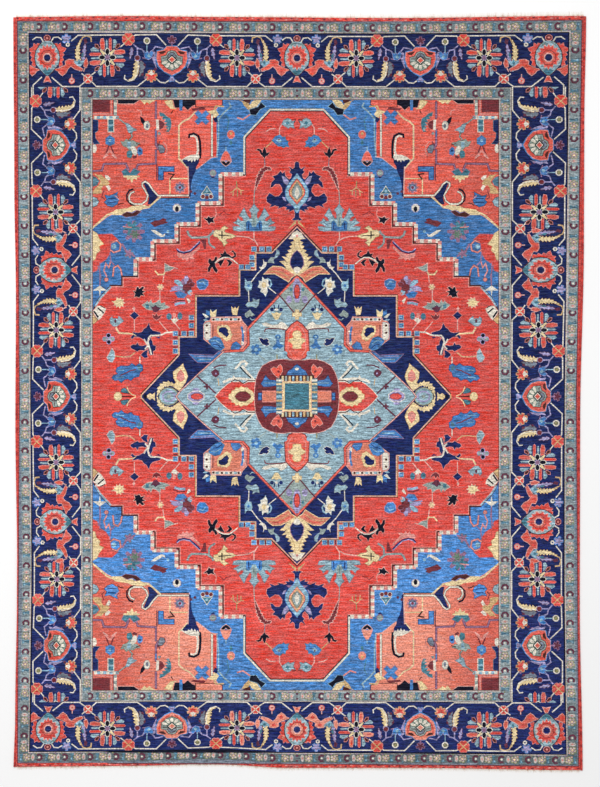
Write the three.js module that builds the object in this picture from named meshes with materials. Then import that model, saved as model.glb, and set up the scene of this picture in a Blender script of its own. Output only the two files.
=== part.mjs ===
// A hand-knotted afghan rug that lies flat: one thick sheet of wool pile on its
// foundation, a wool-wrapped selvedge cord down each long side, and at each end a
// narrow cotton web whose warps are cut short as a fringe. Millimetres, +Z up,
// +Y towards the rug's far end, and the origin on the floor under the middle.
import * as THREE from 'three';

// Driving dimensions
const RUG_WIDTH = 2726;        // from selvedge to selvedge, before the sides waver
const RUG_LENGTH = 3600;       // the pile, end to end
const PILE_THICKNESS = 9;      // foundation and pile together
const PILE_SHOULDER = 3;       // how far the pile rounds over at its rim
const SELVEDGE_WIDTH = 12;
const SELVEDGE_THICKNESS = 8;
const SELVEDGE_ROUNDING = 2.5;
const WEB_WIDTH = 7;           // the flat-woven cotton strip past the last knots
const WEB_THICKNESS = 2.5;
const PIECE_GAP = 0.3;         // between pieces that lie side by side
const ROUNDING_STEPS = 2;
const SIDE_STEPS = 36;
const END_STEPS = 36;

// How far each edge strays outwards from a straight line. along runs from the far
// end to the near end, and across from the left side to the right side.
const LEFT_WAVER = [
  { along: 0.00, out: 0 },
  { along: 0.22, out: -5 },
  { along: 0.38, out: -13 },
  { along: 0.54, out: -10 },
  { along: 0.74, out: -19 },
  { along: 0.94, out: -9 },
  { along: 1.00, out: -1 },
];
const RIGHT_WAVER = [
  { along: 0.00, out: 26 },
  { along: 0.14, out: 17 },
  { along: 0.30, out: 15 },
  { along: 0.54, out: -3 },
  { along: 0.78, out: -5 },
  { along: 1.00, out: 9 },
];
const FAR_WAVER = [
  { across: 0.00, out: 0 },
  { across: 0.20, out: 5 },
  { across: 0.36, out: 0 },
  { across: 0.66, out: -5 },
  { across: 1.00, out: 5 },
];
const NEAR_WAVER = [
  { across: 0.00, out: 0 },
  { across: 0.22, out: -5 },
  { across: 0.35, out: -14 },
  { across: 0.48, out: 5 },
  { across: 0.69, out: 5 },
  { across: 1.00, out: 16 },
];

// Fringe: each lock is a flat four-sided strand that lies on the floor.
const LOCKS_PER_END = 148;
const LOCK_ROOT_WIDTH = 9;
const LOCK_TIP_WIDTH = 5;
const LOCK_SPLAY = 3;          // how far a tip may lean to either side
const FAR_FRINGE = { length: 14, ragged: 3 };
const NEAR_FRINGE = { length: 8, ragged: 2 };

const PILE_WOOL = { color: 0xb0483f, roughness: 0.95, metalness: 0 };
const MADDER_YARN = { color: 0xb8392f, roughness: 0.9, metalness: 0 };
const IVORY_COTTON = { color: 0xe6ddc8, roughness: 0.95, metalness: 0 };

// The offset at a station, eased from one row of a table to the next.
function waver(table, column, station) {
  const last = table.length - 1;
  const next = Math.min(last, Math.max(1, table.findIndex((row) => row[column] >= station)));
  const [from, to] = [table[next - 1], table[next]];
  const t = THREE.MathUtils.smoothstep(station, from[column], to[column]);
  return THREE.MathUtils.lerp(from.out, to.out, t);
}

// The rug's outer edges as seen from above.
const leftX = (along) => -RUG_WIDTH / 2 - waver(LEFT_WAVER, 'along', along);
const rightX = (along) => RUG_WIDTH / 2 + waver(RIGHT_WAVER, 'along', along);
const farY = (across) => RUG_LENGTH / 2 + waver(FAR_WAVER, 'across', across);
const nearY = (across) => -RUG_LENGTH / 2 - waver(NEAR_WAVER, 'across', across);

// A repeatable number from -1 to 1 for each lock.
function vary(index, kind) {
  const wave = Math.sin(index * 12.9898 + kind * 78.233) * 43758.5453;
  return 2 * (wave - Math.floor(wave)) - 1;
}

// Points down one side, from the far end to the near end, a distance in from its
// outer edge. side is -1 on the left and 1 on the right.
function sidePoints(side, inward) {
  const edge = side < 0 ? leftX : rightX;
  const across = side < 0 ? 0 : 1;
  return Array.from({ length: SIDE_STEPS + 1 }, (_, i) => {
    const along = i / SIDE_STEPS;
    const y = THREE.MathUtils.lerp(farY(across), nearY(across), along);
    return new THREE.Vector2(edge(along) - side * inward, y);
  });
}

// Points along one end of the pile, from left to right, a distance out past it.
// end is 1 at the far end and -1 at the near end.
function endPoints(end, outward) {
  const edge = end > 0 ? farY : nearY;
  const along = end > 0 ? 0 : 1;
  const inward = SELVEDGE_WIDTH + PIECE_GAP;
  const [from, to] = [leftX(along) + inward, rightX(along) - inward];
  return Array.from({ length: END_STEPS + 1 }, (_, i) => {
    const across = i / END_STEPS;
    return new THREE.Vector2(THREE.MathUtils.lerp(from, to, across), edge(across) + end * outward);
  });
}

// A flat solid of an outline, standing on the floor, with its rims rounded over.
function flatSolid(outline, thickness, rounding) {
  const geometry = new THREE.ExtrudeGeometry(new THREE.Shape(outline), {
    depth: thickness - 2 * rounding,
    bevelEnabled: rounding > 0,
    bevelThickness: rounding,
    bevelSize: rounding,
    bevelOffset: -rounding,
    bevelSegments: ROUNDING_STEPS,
    steps: 1,
  });
  return geometry.translate(0, 0, rounding);
}

function named(name, geometry, finish) {
  const mesh = new THREE.Mesh(geometry, new THREE.MeshStandardMaterial(finish));
  mesh.name = name;
  return mesh;
}

function pile() {
  const inward = SELVEDGE_WIDTH + PIECE_GAP;
  const left = sidePoints(-1, inward).slice(1, -1);
  const right = sidePoints(1, inward).slice(1, -1);
  const outline = [...endPoints(-1, 0), ...right.reverse(), ...endPoints(1, 0).reverse(), ...left];
  return named('pile', flatSolid(outline, PILE_THICKNESS, PILE_SHOULDER), PILE_WOOL);
}

function selvedge(name, side) {
  const outline = [...sidePoints(side, 0), ...sidePoints(side, SELVEDGE_WIDTH).reverse()];
  if (side < 0) outline.reverse();
  return named(name, flatSolid(outline, SELVEDGE_THICKNESS, SELVEDGE_ROUNDING), MADDER_YARN);
}

// The web's outer edge with its locks, from left to right.
function fringedEdge(end, cut) {
  const edge = endPoints(end, PIECE_GAP + WEB_WIDTH);
  const curve = new THREE.CatmullRomCurve3(edge.map((p) => new THREE.Vector3(p.x, p.y, 0)));
  const points = [edge[0]];
  for (let i = 0; i < LOCKS_PER_END; i += 1) {
    const root = curve.getPoint((i + 0.5) / LOCKS_PER_END);
    const tipX = root.x + LOCK_SPLAY * vary(i, end);
    const tipY = root.y + end * (cut.length + cut.ragged * vary(i, 2 * end));
    points.push(new THREE.Vector2(root.x - LOCK_ROOT_WIDTH / 2, root.y));
    points.push(new THREE.Vector2(tipX - LOCK_TIP_WIDTH / 2, tipY));
    points.push(new THREE.Vector2(tipX + LOCK_TIP_WIDTH / 2, tipY));
    points.push(new THREE.Vector2(root.x + LOCK_ROOT_WIDTH / 2, root.y));
  }
  points.push(edge[edge.length - 1]);
  return points;
}

function fringe(name, end, cut) {
  const outline = [...endPoints(end, PIECE_GAP), ...fringedEdge(end, cut).reverse()];
  if (end < 0) outline.reverse();
  return named(name, flatSolid(outline, WEB_THICKNESS, 0), IVORY_COTTON);
}

const rug = new THREE.Group();
rug.add(pile());
rug.add(selvedge('selvedge_left', -1));
rug.add(selvedge('selvedge_right', 1));
rug.add(fringe('fringe_far', 1, FAR_FRINGE));
rug.add(fringe('fringe_near', -1, NEAR_FRINGE));

// The origin goes under the middle of the whole rug.
const middle = new THREE.Box3().setFromObject(rug).getCenter(new THREE.Vector3());
rug.position.set(-middle.x, -middle.y, 0);

export default rug;
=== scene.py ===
# %% [markdown]
# # A hand-knotted afghan rug, made in Blender
# The real thing is one cloth: cotton warps run its whole length, rows of wool knots are tied
# over them, and the pattern is nothing but the colour of each knot. Wool yarn is wrapped round
# the outermost warps as a cord, and at both ends the warps come out of a narrow cotton web.
# The measured solids give every size. This lesson draws the pattern as a weaver's chart, turns
# the chart into the face of the pile, and then makes the cords, the webs and their cut warps.

# %% Load the measured model
import math

import bmesh
import bpy
import numpy as np
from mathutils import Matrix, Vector
from mathutils.geometry import delaunay_2d_cdt


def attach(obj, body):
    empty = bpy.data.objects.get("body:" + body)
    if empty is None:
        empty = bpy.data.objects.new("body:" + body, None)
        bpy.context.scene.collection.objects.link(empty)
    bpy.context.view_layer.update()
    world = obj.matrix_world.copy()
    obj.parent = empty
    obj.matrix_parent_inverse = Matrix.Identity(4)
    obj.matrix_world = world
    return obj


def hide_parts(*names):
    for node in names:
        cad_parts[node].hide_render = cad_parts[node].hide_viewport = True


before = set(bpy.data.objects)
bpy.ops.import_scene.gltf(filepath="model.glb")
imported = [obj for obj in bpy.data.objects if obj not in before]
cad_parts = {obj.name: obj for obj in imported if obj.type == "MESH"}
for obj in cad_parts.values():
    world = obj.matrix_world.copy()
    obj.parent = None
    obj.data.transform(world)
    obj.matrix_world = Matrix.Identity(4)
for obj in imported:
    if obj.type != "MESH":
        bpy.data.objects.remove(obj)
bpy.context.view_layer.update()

# %% [markdown]
# The camera comes first. The rug was photographed square on from above, so the camera hangs
# far over it with a long lens, which keeps the sides parallel, and frames a little floor all
# round. An orthographic camera would do as well, but the long lens also suits the other views.

# %% Camera
VIEW_HEIGHT = 3.7776       # metres of floor that the upright frame takes in
VIEW_MIDDLE = Vector((0.0014, -0.0058, 0.009))
SENSOR = 36.0
LENS = 110.0

distance = VIEW_HEIGHT / 2 / (SENSOR / 2 / LENS)
bpy.ops.object.select_all(action="DESELECT")
bpy.ops.object.camera_add(location=VIEW_MIDDLE + Vector((0, 0, distance)), rotation=(0, 0, 0))
camera = bpy.context.object
camera.name = "camera_above"
camera.data.lens = LENS
camera.data.sensor_width = SENSOR
camera.data.clip_end = 100
bpy.context.scene.camera = camera
print("the camera hangs", round(distance, 2), "metres above the rug")

# %% [markdown]
# Plain soft light: a pale sky all round, and one wide soft lamp high above that leans a little
# to one side, so that the cords and the cut warps get a faint shadow. The floor is almost
# white, because the photograph's ground is. The plain view transform shows every dye as it
# is written below; the filmic one would wash the reds out.

# %% Floor and light
FLOOR_SIZE = 60.0

bpy.ops.mesh.primitive_plane_add(size=FLOOR_SIZE, location=(0, 0, -0.0002))
floor = bpy.context.object
floor.name = "pale_floor"
floor_finish = bpy.data.materials.new("pale_floor")
floor_finish.use_nodes = True
floor_shader = floor_finish.node_tree.nodes["Principled BSDF"]
floor_shader.inputs["Base Color"].default_value = (0.98, 0.98, 0.98, 1)
floor_shader.inputs["Roughness"].default_value = 0.9
floor_shader.inputs["Specular IOR Level"].default_value = 0.1
floor.data.materials.append(floor_finish)

sky = bpy.data.worlds.new("soft_sky")
sky.use_nodes = True
sky.node_tree.nodes["Background"].inputs["Color"].default_value = (1, 1, 1, 1)
sky.node_tree.nodes["Background"].inputs["Strength"].default_value = 0.62
bpy.context.scene.world = sky
bpy.context.scene.view_settings.view_transform = "Standard"

LAMP_HEIGHT = 6.0
bpy.ops.object.light_add(type="AREA", location=(-1.5, 2.0, LAMP_HEIGHT))
lamp = bpy.context.object
lamp.name = "wide_soft_lamp"
lamp.data.shape = "DISK"
lamp.data.size = 4.0
lamp.data.energy = 215
lamp.rotation_euler = Vector((1.5, -2.0, -LAMP_HEIGHT)).to_track_quat("-Z", "Y").to_euler()
print("the lamp is", round(lamp.location.length, 2), "metres off")

# %% [markdown]
# ## The wools
# A rug of this kind has some twenty dye lots. Each is written here as it looks in daylight,
# and turned into the linear light that the renderer adds up.

# %% Dyes
DYES = {
    "red": (212, 70, 60),
    "coral": (218, 90, 74),
    "rose": (222, 140, 130),
    "salmon": (216, 124, 100),
    "pink": (226, 170, 160),
    "maroon": (120, 48, 54),
    "brown": (78, 38, 34),
    "plum": (100, 48, 66),
    "mauve": (150, 110, 140),
    "lavender": (160, 150, 190),
    "navy": (22, 30, 80),
    "ink": (18, 18, 34),
    "blue": (66, 122, 184),
    "sky": (140, 178, 196),
    "mist": (146, 174, 184),
    "teal": (70, 122, 138),
    "green": (104, 128, 110),
    "sage": (148, 162, 156),
    "olive": (150, 146, 100),
    "tan": (206, 170, 118),
    "cream": (232, 208, 158),
    "ivory": (228, 220, 204),
    "pearl": (196, 184, 178),
    "fog": (134, 146, 148),
    "steel": (84, 122, 138),
    "grey": (120, 128, 140),
}


def linear(colour):
    """A colour written as 0 to 255, as the linear light that a shader wants."""
    shares = [value / 255 for value in colour]
    return [s / 12.92 if s <= 0.04045 else ((s + 0.055) / 1.055) ** 2.4 for s in shares]


print(len(DYES), "dye lots")

# %% [markdown]
# ## A kit for drawing the chart
# The pattern is drawn flat, in knots, like the squared paper that a weaver reads. Every motif
# is a list of filled shapes, each a list of corners and the name of a dye, and a later shape
# covers an earlier one. That is how a motif is knotted too: an outline, then its inside.
# Corners are written as pairs of counts in knots, first across and then along. Small helpers
# turn, mirror and place motifs, and grow a dark outline round one.

# %% Turn, place and mirror
def at(*counts):
    """Corners from a row of counts in pairs, across and along."""
    return list(zip(counts[::2], counts[1::2]))


def together(*motifs):
    """Motifs drawn one over another, as one list of shapes."""
    return [shape for motif in motifs for shape in motif]


def turned(points, angle):
    """Points turned anticlockwise about the chart's own middle, by degrees."""
    c, s = math.cos(math.radians(angle)), math.sin(math.radians(angle))
    return [(x * c - y * s, x * s + y * c) for x, y in points]


def placed(shapes, x=0, y=0, turn=0, size=1.0, tall=1.0, flip=False, swap=False):
    """Shapes moved to a spot, after an optional change of size, mirror and turn."""
    done = []
    for points, dye in shapes:
        points = [(px * size, py * size * tall) for px, py in points]
        if flip:
            points = [(-px, py) for px, py in points]
        if swap:
            points = [(py, px) for px, py in points]
        points = turned(points, turn)
        done.append(([(px + x, py + y) for px, py in points], dye))
    return done


def both(shapes):
    """Shapes and their mirror image across the upright axis."""
    return shapes + placed(shapes, flip=True)


def whole(half):
    """A closed outline from its right half, listed from the top down."""
    return half + [(-x, y) for x, y in reversed(half) if abs(x) > 0.01]


print("a mirrored square has", len(both([(at(1,1, 2,1, 2,2), "red")])), "shapes")

# %% Outlines, patches and lines
def corner_shift(before, corner, after, least):
    """How a corner moves when both sides beside it move one knot to the right of the path."""
    ax, ay = corner[0] - before[0], corner[1] - before[1]
    bx, by = after[0] - corner[0], after[1] - corner[1]
    a_length, b_length = math.hypot(ax, ay) or 1, math.hypot(bx, by) or 1
    nx, ny = ay / a_length + by / b_length, -ax / a_length - bx / b_length
    scale = 2 / max(nx * nx + ny * ny, least)
    return nx * scale, ny * scale


def grown(points, width):
    """An outline pushed outwards, the way a darker knot is tied round a motif."""
    after = points[1:] + points[:1]
    area = sum(x0 * y1 - x1 * y0 for (x0, y0), (x1, y1) in zip(points, after))
    side = width if area > 0 else -width
    out = []
    for i, (x, y) in enumerate(points):
        dx, dy = corner_shift(points[i - 1], (x, y), after[i], 0.9)
        out.append((x + side * dx, y + side * dy))
    return out


def patch(points, dye, edge=None, width=1.2):
    """A filled shape, with an outline of another dye if one is named."""
    return ([(grown(points, width), edge)] if edge else []) + [(points, dye)]


def line(points, dye, width=2.0, edge=None, rim=1.0, end=None):
    """A stripe along a path. end gives its width at the far end when it tapers."""
    end = width if end is None else end
    last = len(points) - 1
    left, right = [], []
    for i, (x, y) in enumerate(points):
        before = points[i - 1] if i > 0 else (2 * x - points[1][0], 2 * y - points[1][1])
        after = points[i + 1] if i < last else (2 * x - before[0], 2 * y - before[1])
        dx, dy = corner_shift(before, (x, y), after, 0.8)
        half = (width + (end - width) * i / last) / 2
        left.append((x - dx * half, y - dy * half))
        right.append((x + dx * half, y + dy * half))
    return patch(left + right[::-1], dye, edge, rim)


print("an edged line is", len(line(at(0,0, 9,0), "ivory", edge="brown")), "shapes")

# %% Simple figures
def disc(radius, dye, edge=None, width=1.2, tall=None, sides=8, x=0, y=0):
    """A round or oval spot, with few sides, as knots can only step."""
    tall = tall or radius
    points = [(x + radius * math.cos(2 * math.pi * (i + 0.5) / sides),
               y + tall * math.sin(2 * math.pi * (i + 0.5) / sides)) for i in range(sides)]
    return patch(points, dye, edge, width)


def box(x0, y0, x1, y1, dye, edge=None, width=1.2):
    """A rectangle between two corners."""
    return patch([(x0, y0), (x1, y0), (x1, y1), (x0, y1)], dye, edge, width)


def diamond(w, h, dye, edge=None, width=1.2, x=0, y=0):
    """A lozenge, w knots to each side of its middle and h up and down."""
    return patch([(x + w, y), (x, y + h), (x - w, y), (x, y - h)], dye, edge, width)


def petals(count, reach, dye, edge=None, waist=0.5, start=0.0, width=1.2, blunt=0.35):
    """A flower seen from above: blunt petals round a middle."""
    points = []
    for i in range(count):
        for step, radius in ((-0.5, waist), (-blunt / 2, 1.0), (blunt / 2, 1.0)):
            angle = math.radians(start) + 2 * math.pi * (i + step) / count
            points.append((reach * radius * math.cos(angle), reach * radius * math.sin(angle)))
    return patch(points, dye, edge, width)


print("a flower has", len(petals(8, 10, "red")[0][0]), "corners")

# %% Saw-edged leaves and dog-tooth rows
SMOOTH_SIDE = 0.55          # how far the teeth reach on the plainer side of a one-sided leaf


def saw(spine, width, dye, teeth=4, edge=None, rim=1.0, one_side=False, bite=0.45):
    """A serrated leaf along a path, widest below its middle and pointed at its tip."""
    lengths = [0.0]
    for (xa, ya), (xb, yb) in zip(spine, spine[1:]):
        lengths.append(lengths[-1] + math.hypot(xb - xa, yb - ya))

    def spot(t):
        d = t * lengths[-1]
        i = max(1, next((k for k, v in enumerate(lengths) if v >= d - 1e-9), len(lengths) - 1))
        f = (d - lengths[i - 1]) / (lengths[i] - lengths[i - 1])
        (xa, ya), (xb, yb) = spine[i - 1], spine[i]
        length = math.hypot(xb - xa, yb - ya)
        return xa + (xb - xa) * f, ya + (yb - ya) * f, (yb - ya) / length, -(xb - xa) / length

    sides = {1: [], -1: []}
    for side in (1, -1):
        for i in range(teeth):
            for step, reach in ((0.0, bite), (0.75, 1.0)):
                t = (i + step) / teeth
                if one_side and side < 0:
                    reach = SMOOTH_SIDE
                x, y, nx, ny = spot(min(t, 0.999))
                w = width * reach * min(1.0, 3.0 * t + 0.35, 2.2 * (1 - t) + 0.1)
                sides[side].append((x + side * nx * w, y + side * ny * w))
    tip = spot(1.0)[:2]
    return patch(sides[1] + [tip] + sides[-1][::-1], dye, edge, rim)


def checks(path, size, dye_a, dye_b):
    """Small squares of two dyes in turn along a path."""
    done = []
    h = size / 2
    for (xa, ya), (xb, yb) in zip(path, path[1:]):
        length = math.hypot(xb - xa, yb - ya)
        steps = max(1, round(length / size))
        dx, dy = (xb - xa) / length, (yb - ya) / length
        for i in range(steps):
            a, b = length * i / steps, length * (i + 1) / steps
            quad = [(xa + dx * s + dy * t, ya + dy * s - dx * t)
                    for s, t in ((a, -h), (b, -h), (b, h), (a, h))]
            done.append((quad, dye_b if len(done) % 2 else dye_a))
    return done


print("a leaf has", len(saw(at(0,0, 0,20), 6, "cream")[0][0]), "corners")

# %% [markdown]
# ## The main border
# Three large motifs come in turn along the navy border: a pear-shaped palmette, an open
# rosette seen from above, and a shield-shaped palmette. They are drawn upright about their
# own middles, and the right half is mirrored where the motif is even.

# %% Pear palmette
def arabesque_leaf():
    """The red split leaf, with its thick lobes at one end and its thin tip at the other."""
    leaf = at(15,-26, 22,-24, 30,-20, 38,-16, 37,-8, 44,-4, 54,-5, 54,-12, 61,-18, 72,-25, 70,-29,
            57,-25, 48,-18, 42,-24, 38,-33, 31,-39, 25,-34, 22,-29)
    return together(
        patch(leaf, "coral", "pink"), patch(at(27,-27, 33,-24, 36,-29, 31,-34), "red"),
        patch(at(42,-8, 50,-7, 50,-13, 44,-15), "red"))


def pear_palmette():
    """The pear-shaped palmette, with a leaf and a split leaf to each side."""
    leaf = at(14,30, 20,31, 21,27, 27,31, 28,24, 38,20, 35,14, 31,12, 34,6, 30,2, 33,-5, 29,-9, 31,-16,
            25,-19, 22,0)
    pear = whole(at(0,37, 9,35, 16,27, 23,14, 25,0, 23,-14, 13,-27, 5,-36, 0,-39))
    flower = whole(at(0,28, 3,22, 8,26, 9,19, 16,20, 14,12, 20,9, 16,2, 20,-5, 15,-8, 15,-15, 9,-14,
            7,-22, 3,-19, 0,-26))
    bud = at(-7,-53, -2,-41, 2,-41, 7,-53, 0,-51)
    return together(
        both(patch(leaf, "red", "rose", 0.9) + patch(at(25,22, 31,20, 28,14, 24,14), "coral")
            + arabesque_leaf()),
        patch(pear, "mist", "brown", 1.6),
        both(patch(at(17,14, 22,6, 22,-6, 17,-14), "pearl")),
        both(line(at(5,33, 12,26, 12,31), "green", 1.6)),
        patch(at(0,-24, 10,-28, 5,-36, 0,-39, -5,-36, -10,-28), "teal"),
        patch(flower, "red", "pink", 1.2), disc(13, "coral", "maroon", 1.0, tall=16),
        disc(9.5, "pink", tall=11), disc(7, "navy", tall=8),
        disc(6, "maroon", "rose", y=43), disc(2.5, "rose", y=43, sides=6),
        patch(bud, "coral", "pink"), diamond(2, 3, "red", y=-48),
        both(line(at(8,35, 13,44, 22,45, 30,39), "ivory", 2.4)))


print("pear palmette:", len(pear_palmette()), "shapes")

# %% Open rosette
def rosette_side():
    """One of the four sides, each with four petals in the same order."""
    return together(
        patch(at(-14,17, -16,30, -14,38, -9,39, -6.5,30, -7,15), "coral", "pink", 0.8),
        patch(at(-12,24, -12,35, -9,34, -9,24), "red"),
        patch(at(-3.5,16, -3.5,34, -1.5,37, 0.5,34, 0.5,15), "mist"),
        patch(at(4,14, 4,37, 6.5,40, 9,37, 9,15), "red", "rose", 0.8),
        patch(at(12.5,18, 12.5,36, 17,38, 21.5,31, 16.5,20), "mist"),
        patch(at(18,20, 22,26.5, 27,27, 26.5,22, 20,18), "brown", "rose", 1.0),
        patch(at(4,8, 8,12, 15,17, 17,15, 12,8, 8,4), "cream"))


def rosette():
    """The open rosette: four sides of petals round four dark buds."""
    shapes = []
    for quarter in range(4):
        shapes += placed(rosette_side(), turn=-90 * quarter)
    for quarter in range(4):
        shapes += placed(patch(at(0,3, 4.5,10, 3.5,16, 0,18, -3.5,16, -4.5,10), "ink", "ivory", 1.5),
                         turn=90 * quarter)
    return shapes + disc(4.5, "mauve", "lavender", 1.0)


print("open rosette:", len(rosette()), "shapes")

# %% Shield palmette
def shield_palmette():
    """The shield-shaped palmette, with a fan of pale petals in it."""
    wings = whole(at(0,31, 10,31, 16,23, 29,20, 31,8, 32,-4, 27,-16, 14,-29, 0,-38))
    ring = whole(at(0,28, 9,28, 15,20, 27,17, 28,2, 24,-13, 14,-25, 0,-33))
    inner = whole(at(0,20, 7,17, 11,9, 20,6, 19,-8, 11,-18, 0,-24))
    shapes = together(
        patch(wings, "blue", "ink", 1.0),
        both(patch(at(31,16, 36,19, 34,9, 37,2, 34,-8, 29,-20, 31,-4), "lavender")),
        patch(ring, "coral", "rose", 1.4),
        both(patch(at(10,20, 16,12, 24,12, 25,16, 16,19), "brown")),
        both(line(at(24,14, 24,2, 20,-11, 12,-21, 4,-28), "red", 2.6)),
        patch(inner, "sage", "brown", 1.2))
    for turn in (-64, -32, 0, 32, 64):
        shapes += placed(patch(at(0,-8, 3,-12, 3,-19, 0,-21, -3,-19, -3,-12), "ivory", "green", 1.2),
                turn=turn)
    return shapes + together(
        patch(whole(at(0,16, 5,13, 8,7, 0,5)), "grey", "brown", 1.2),
        both(line(at(6,4, 18,3), "brown", 1.6)),
        diamond(10, 11, "ink"), diamond(7.5, 8, "ivory"), diamond(5.5, 6, "coral"),
        placed(petals(5, 8, "plum", "mauve", 0.45, start=90), y=44), line(at(0,38, 0,30), "mauve", 3),
        placed(petals(3, 6, "lavender", "blue", 0.6, start=90), y=-43))


print("shield palmette:", len(shield_palmette()), "shapes")

# %% [markdown]
# Between the large motifs runs an ivory vine with split leaves, saw-edged leaves and small
# flowers. It is drawn once from the middle of each palmette outwards, and mirrored.

# %% Pendants and quartered flowers
def pendant(stem, ring_dye="ivory", heart="olive", reach=7):
    """A round drop on a stalk that points towards the border's edge."""
    return together(
        line([(0, 0), (0, -stem)], "sky", 1.8), disc(reach, ring_dye), disc(3.4, heart, "ink", 0.8))


def cross_flower(reach, dye, cross):
    """A round flower quartered by a thin cross."""
    return together(
        petals(8, reach, dye, "rose", 0.86, start=22.5, width=1.2),
        line([(-reach * 0.7, -reach * 0.7), (reach * 0.7, reach * 0.7)], cross, 2.0),
        line([(-reach * 0.7, reach * 0.7), (reach * 0.7, -reach * 0.7)], cross, 2.0), disc(1.8, "tan"))


print("pendant:", len(pendant(20)), "shapes")

# %% The vine beside a pear palmette
def from_pear():
    """What lies between the middle of a pear palmette and the next rosette, read outwards."""
    flower = placed(petals(5, 9, "lavender", "blue", 0.5, start=90), 39, 42)
    leaf = together(
        saw(at(70,-8, 74,8, 76,22, 78,36), 4.6, "lavender", 6, "plum", 1),
        saw(at(66,-10, 62,6, 62,22, 68,40), 5.8, "cream", 8, "brown", 1),
        patch(at(70,2, 74,8, 74,16, 70,12), "teal"),
        line(at(68,34, 72,44, 80,47, 89,44, 90,35), "tan", 2.0, end=3.0),
        patch(at(74,40, 80,42, 82,34, 77,30), "plum"))
    calyx = together(
        patch(at(65,-15, 72,-7, 76,0, 68,-3, 65,1, 62,-3, 54,0, 58,-7), "sky", "grey", 1.0),
        patch(at(65,-9, 68,-5, 65,0, 62,-5), "teal"))
    return together(
        flower, disc(4.6, "ivory", x=42, y=30, sides=6), diamond(2, 2, "navy", x=42, y=30), leaf, calyx,
        line(at(65,-12, 66,-22), "sky", 2),
        patch(at(76,-2, 80,3, 83,-6, 80,-14, 75,-12), "coral", "pink"),
        line(at(78,-13, 74,-22), "pink", 2), line(at(50,-27, 50,-36), "pink", 2.0),
        disc(5.5, "pink", "red", 1.0, x=50, y=-40), diamond(2.5, 2.5, "red", x=50, y=-40),
        line(at(49,37, 63,48, 120,48), "ivory", 2.3),
        line(at(9,-33, 31,-51, 65,-51, 76,-43), "ivory", 2.3),
        line(at(91,-42, 100,-51, 120,-51), "ivory", 2.3), line(at(70,-26, 77,-31), "ivory", 2.2),
        line(at(90,-29, 98,-23), "ivory", 2.2), disc(10, "ivory", x=83, y=-36, width=0),
        placed(cross_flower(8, "red", "ivory"), 83, -36))


print("vine by a pear palmette:", len(from_pear()), "shapes")

# %% The vine beside a rosette
def from_rosette():
    """What lies between the middle of a rosette and the next shield palmette."""
    tulip = patch(at(73,18, 77,13, 80,17, 83,12, 88,18, 92,14, 89,6, 83,1, 76,3, 74,9), "blue",
            "lavender", 0.8)
    tulip += patch(at(79,8, 83,12, 87,6, 83,4), "sky")
    leaf = together(
        saw(at(60,4, 60,-12, 57,-28, 52,-36, 42,-39), 8, "cream", 7, "brown", 0.8, one_side=True),
        line(at(61,1, 62,-14, 59,-29, 53,-38, 42,-41, 34,-36, 35,-29), "ivory", 2.2),
        saw(at(67,-2, 70,-16, 64,-32), 6, "grey", 4, "plum", 0.8),
        saw(at(49,24, 48,14, 45,2), 4, "lavender", 3, "plum", 0.8),
        disc(5, "maroon", "lavender", x=60, y=4), line(at(60,10, 60,23), "lavender", 2.6))
    vine = together(
        line(at(52,30, 62,22, 70,20, 76,10), "lavender", 2.4),
        line(at(90,18, 96,26, 106,24, 114,22), "lavender", 2.4),
        line(at(70,4, 82,2, 94,6), "mauve", 2.0))
    flower = together(
        placed(petals(7, 11, "coral", "tan", 0.6, start=-90), 88, -31),
        placed(petals(7, 7, "red", None, 0.6, start=-90), 88, -32),
        patch(at(88,-19, 94,-27, 88,-30, 82,-27), "ivory"))
    dots = []
    for x, y, dye in ((70, -28, "plum"), (74, -10, "plum"), (96, -18, "plum"), (100, -10, "mauve"),
                      (76, -34, "mauve"), (98, 2, "blue")):
        dots += disc(3, dye, x=x, y=y)
    return together(
        line(at(-4,48, 34,48, 40,42), "ivory", 2.3), line(at(26,25, 35,32), "ivory", 2.2),
        line(at(50,44, 56,48, 98,49, 121,25), "ivory", 2.3),
        line(at(-10,-51, 60,-51, 78,-37), "ivory", 2.3),
        line(at(97,-35, 106,-43, 116,-44, 126,-37), "ivory", 2.3), dots, vine, tulip, leaf, flower,
        placed(pendant(22), 79, 37), placed(cross_flower(12, "red", "tan"), 42, 40))


print("vine by a rosette:", len(from_rosette()), "shapes")

# %% [markdown]
# The two narrow guard stripes repeat four small flowers in a row. The bands themselves are
# plain strips, and each is drawn for one quarter of the rug, round its corner.

# %% Guard stripes and plain bands
FIELD = (408, 593)          # half the field, in knots
NAVY_MIDDLE = 77.2          # from the field's edge out to the main border's centre line


def guard(length, start, period):
    """A guard stripe's small flowers in a row, read along the middle of the stripe."""
    hook = [(5.8 * math.cos(math.radians(angle)), 6.4 * math.sin(math.radians(angle)))
            for angle in (50, 105, 160, 215, 270, 320)]
    unit = together(
        line(hook, "plum", 3.8), disc(2.2, "ivory", sides=6),
        patch(at(9,-3, 12,-8, 16,-5, 17,2, 14,7, 10,5), "pearl"),
        diamond(2, 3, "rose", x=13), placed(petals(5, 7, "pearl", "olive", 0.5, width=1.4), 25),
        diamond(3, 3, "cream", "mauve", x=25), patch(at(33,-8, 41,-7, 38,0, 42,7, 34,8, 35,1), "steel"),
        diamond(1.8, 2.6, "sky", x=38, y=4), diamond(2, 2, "green", x=31, y=7),
        diamond(2, 2, "mauve", x=19, y=-8), diamond(2, 2, "olive", x=6, y=-8.5),
        diamond(2, 2, "pink", x=31, y=-6), diamond(1.8, 2.2, "steel", x=8, y=8))
    shapes = []
    spot = start
    while spot < length + 30:
        shapes += placed(unit, spot)
        spot += period
    return shapes


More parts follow.
